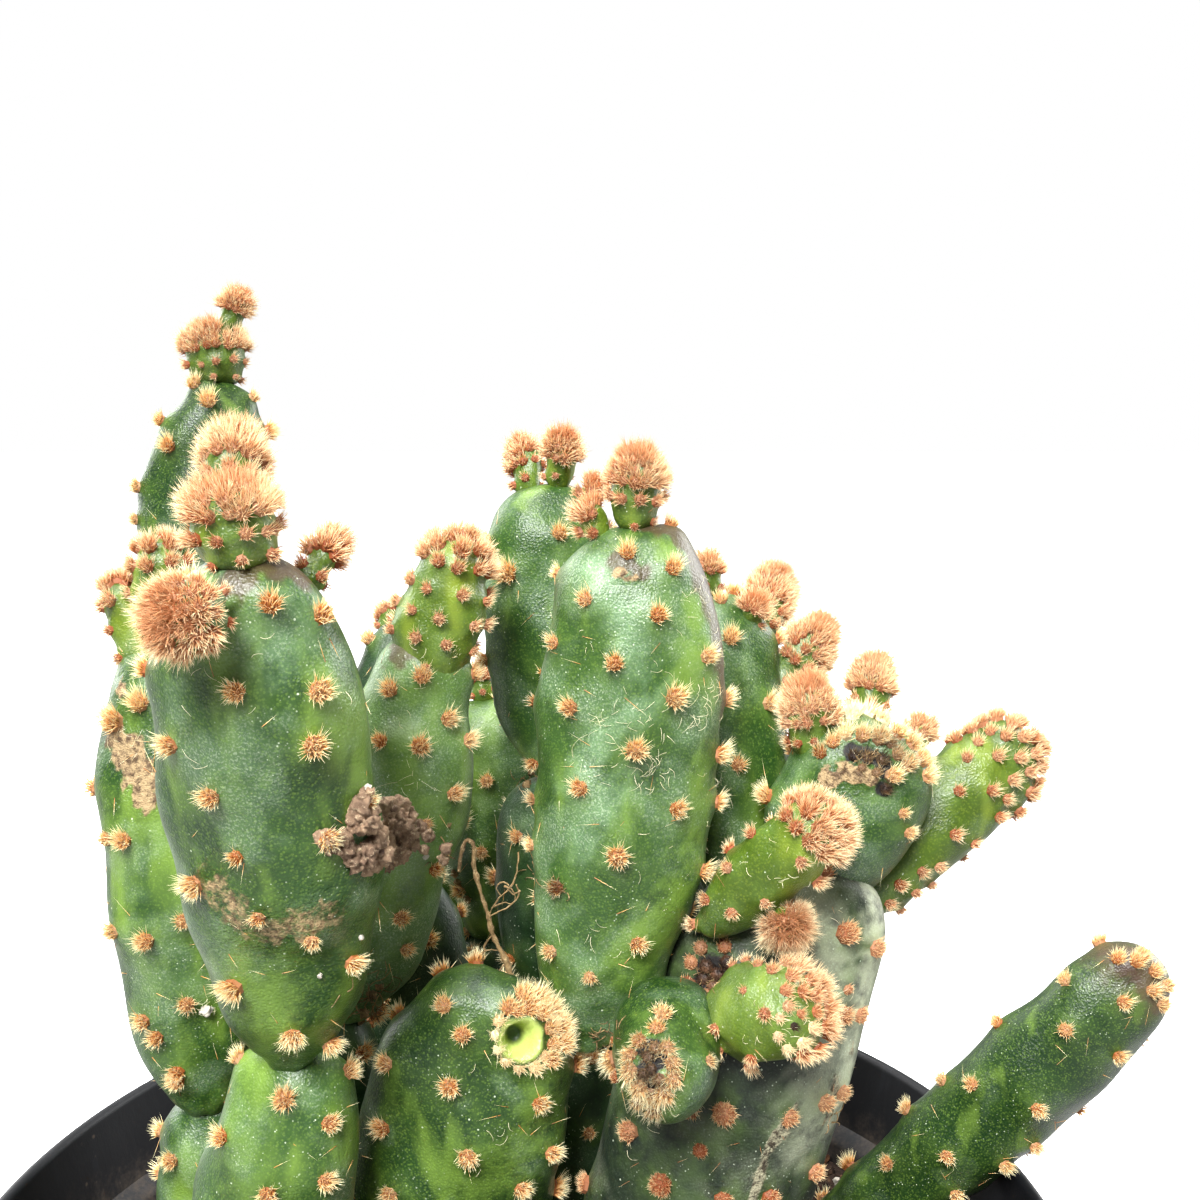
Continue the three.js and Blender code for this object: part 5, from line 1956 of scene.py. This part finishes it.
    def _strand(self, spots: Sequence[Spot], radius: float, steps: int, sides: int) -> Shape:
        """A root through pixels of the photo, all at the root's distance."""
        rng = np.random.default_rng(SEED + len(spots))
        places = [self.clump.camera.at_depth(spot, self.root_depth) for spot in spots]
        route = spline(np.array(places), steps)
        route += 0.02 * np.cumsum(rng.normal(size=route.shape), axis=0)
        return tube(route, radius * (1 + 0.3 * Ripple(rng, 1.1)(route)) * np.linspace(0.8, 1.3, steps), sides)

    def _root(self) -> None:
        """Makes the dry root strand and the rootlets on it."""
        points, faces = self._strand(self.root_spots, self.root_radius, 110, 12)
        mesh = self.shop.mesh("dry_root_strand", points, faces, {"tint": np.linspace(0.1, 0.9, len(points))})
        self.shop.finish("dry_root_strand", mesh, self.finish, "dry_litter", "dry_root")
        strands = [self._strand(spots, self.rootlet_radius, 5 * len(spots), 6) for spots in self.rootlets]
        points, faces = merged(strands)
        mesh = self.shop.mesh("rootlets", points, faces, {"tint": np.full(len(points), 0.7)})
        self.shop.finish("rootlets", mesh, self.finish, "dry_litter")

    def _bits(self) -> None:
        """Makes the small bits of bark and grit that stick to the skin."""
        lumps = []
        for x, y, radius, tint in self.bits:
            found = self.clump.look((x, y))
            if found is not None:
                lumps.append((found[0] + found[1] * radius * 0.4, radius, 3, 1.1, tint))
        self.shop.finish("clinging_bits", self._joined("clinging_bits", lumps), self.finish, "dry_litter")

    def make(self) -> None:
        """Makes all the litter."""
        self._crumb()
        self._root()
        self._bits()
        LooseStrands(self.clump, "dry_tangles", self.finish, "dry_litter", 0.055, TANGLES).make()
        LooseStrands(self.clump, "pale_hairs", IVORY, "bristles", 0.017, PALE_HAIRS).make()


@dataclass(frozen=True)
class Studio:
    """A pale floor and soft white light."""

    camera: PhotoCamera
    floor_half: float = 3.0
    ambient: float = 0.03
    middle: Triple = (0.0, 0.0, 0.12)
    lights: tuple[tuple[str, Triple, float, float], ...] = (
        ("light_key", (-0.15, -0.59, 0.75), 0.3, 20.5),
        ("light_top", (-0.06, 0.16, 0.85), 0.4, 8.0),
        ("light_back_left", (-0.6, 0.45, 0.36), 0.5, 7.0),
        ("light_back_right", (0.62, 0.36, 0.36), 0.5, 7.5),
    )

    def _area(self, name: str, place: Triple, size: float, watts: float) -> None:
        """Adds a soft square light that points at the plant's middle.

        Args:
            name, place: The light's name, and where it is in metres.
            size, watts: Its side, in metres, and its power.
        """
        data = bpy.data.lights.new(name, "AREA")
        data.shape = "SQUARE"
        data.size = size
        data.energy = watts
        light = add_object(name, data)
        light.location = place
        light.rotation_euler = (Vector(self.middle) - Vector(place)).to_track_quat("-Z", "Y").to_euler()

    def _lay_floor(self) -> None:
        """Makes the floor."""
        half = self.floor_half
        mesh = bpy.data.meshes.new("floor")
        corners = [(-half, -half, 0), (half, -half, 0), (half, half, 0), (-half, half, 0)]
        mesh.from_pydata(corners, [], [(0, 1, 2, 3)])
        mesh.materials.append(new_material("floor_pale", self._floor))
        floor = add_object("floor", mesh)

    def _surround(self) -> None:
        """Makes the surroundings: white to the camera, and a soft glow from above and behind."""
        world = bpy.data.worlds.new("surroundings")
        bpy.context.scene.world = world
        world.use_nodes = True
        graph = Graph(world.node_tree)
        seen = graph.add("ShaderNodeLightPath", output="Is Camera Ray")
        heading = graph.add("ShaderNodeTexCoord", output="Generated")
        way = graph.add("ShaderNodeSeparateXYZ", {}, {"Vector": heading})
        glow = self.ambient + 0.38 * way.output("Y").step(-0.1, 0.9) + 0.4 * way.output("Z").step(0.0, 0.9)
        strength = glow + seen * (1.0 - glow)
        sky = graph.add("ShaderNodeBackground", {}, {"Color": (1.0, 1.0, 1.0, 1.0), "Strength": strength})
        graph.add("ShaderNodeOutputWorld", {}, {"Surface": sky})

    def make(self) -> None:
        """Makes the floor, the lights, the surroundings and the camera."""
        self._lay_floor()
        for light in self.lights:
            self._area(*light)
        self._surround()
        self.camera.add()
        bpy.context.scene.view_settings.view_transform = "Standard"

    @staticmethod
    def _floor(graph: Graph, place: Wire) -> dict[str, Any]:
        """The floor's shader inputs."""
        cloud = graph.noise(place, 400, 2)
        seen = graph.add("ShaderNodeLightPath", output="Is Camera Ray")
        colour = graph.mix(cloud, srgb(246, 246, 246), srgb(252, 252, 252))
        return {
            "Base Color": graph.mix(seen, srgb(150, 150, 150), colour),
            "Roughness": 0.8,
            "Specular IOR Level": 0.1,
            "Emission Color": graph.mix(seen, srgb(0, 0, 0), srgb(255, 255, 255)),
            "Emission Strength": 0.7,
        }


def main() -> None:
    """Builds the pot, the soil, the plant and the litter, then the studio."""
    logging.basicConfig(level=logging.INFO, format="%(message)s")
    shop = Workshop()
    camera = PhotoCamera()
    pot = NurseryPot(shop)
    pot.make()
    PottingSoil(shop, pot, STEMS).make()
    clump = Clump((*STEMS, *PADS, *BUDS), camera, shop)
    clump.make()
    DryLitter(shop, clump).make()
    Studio(camera).make()
    LOG.info("all: %d triangles", shop.triangles)


if __name__ == "__main__":
    main()
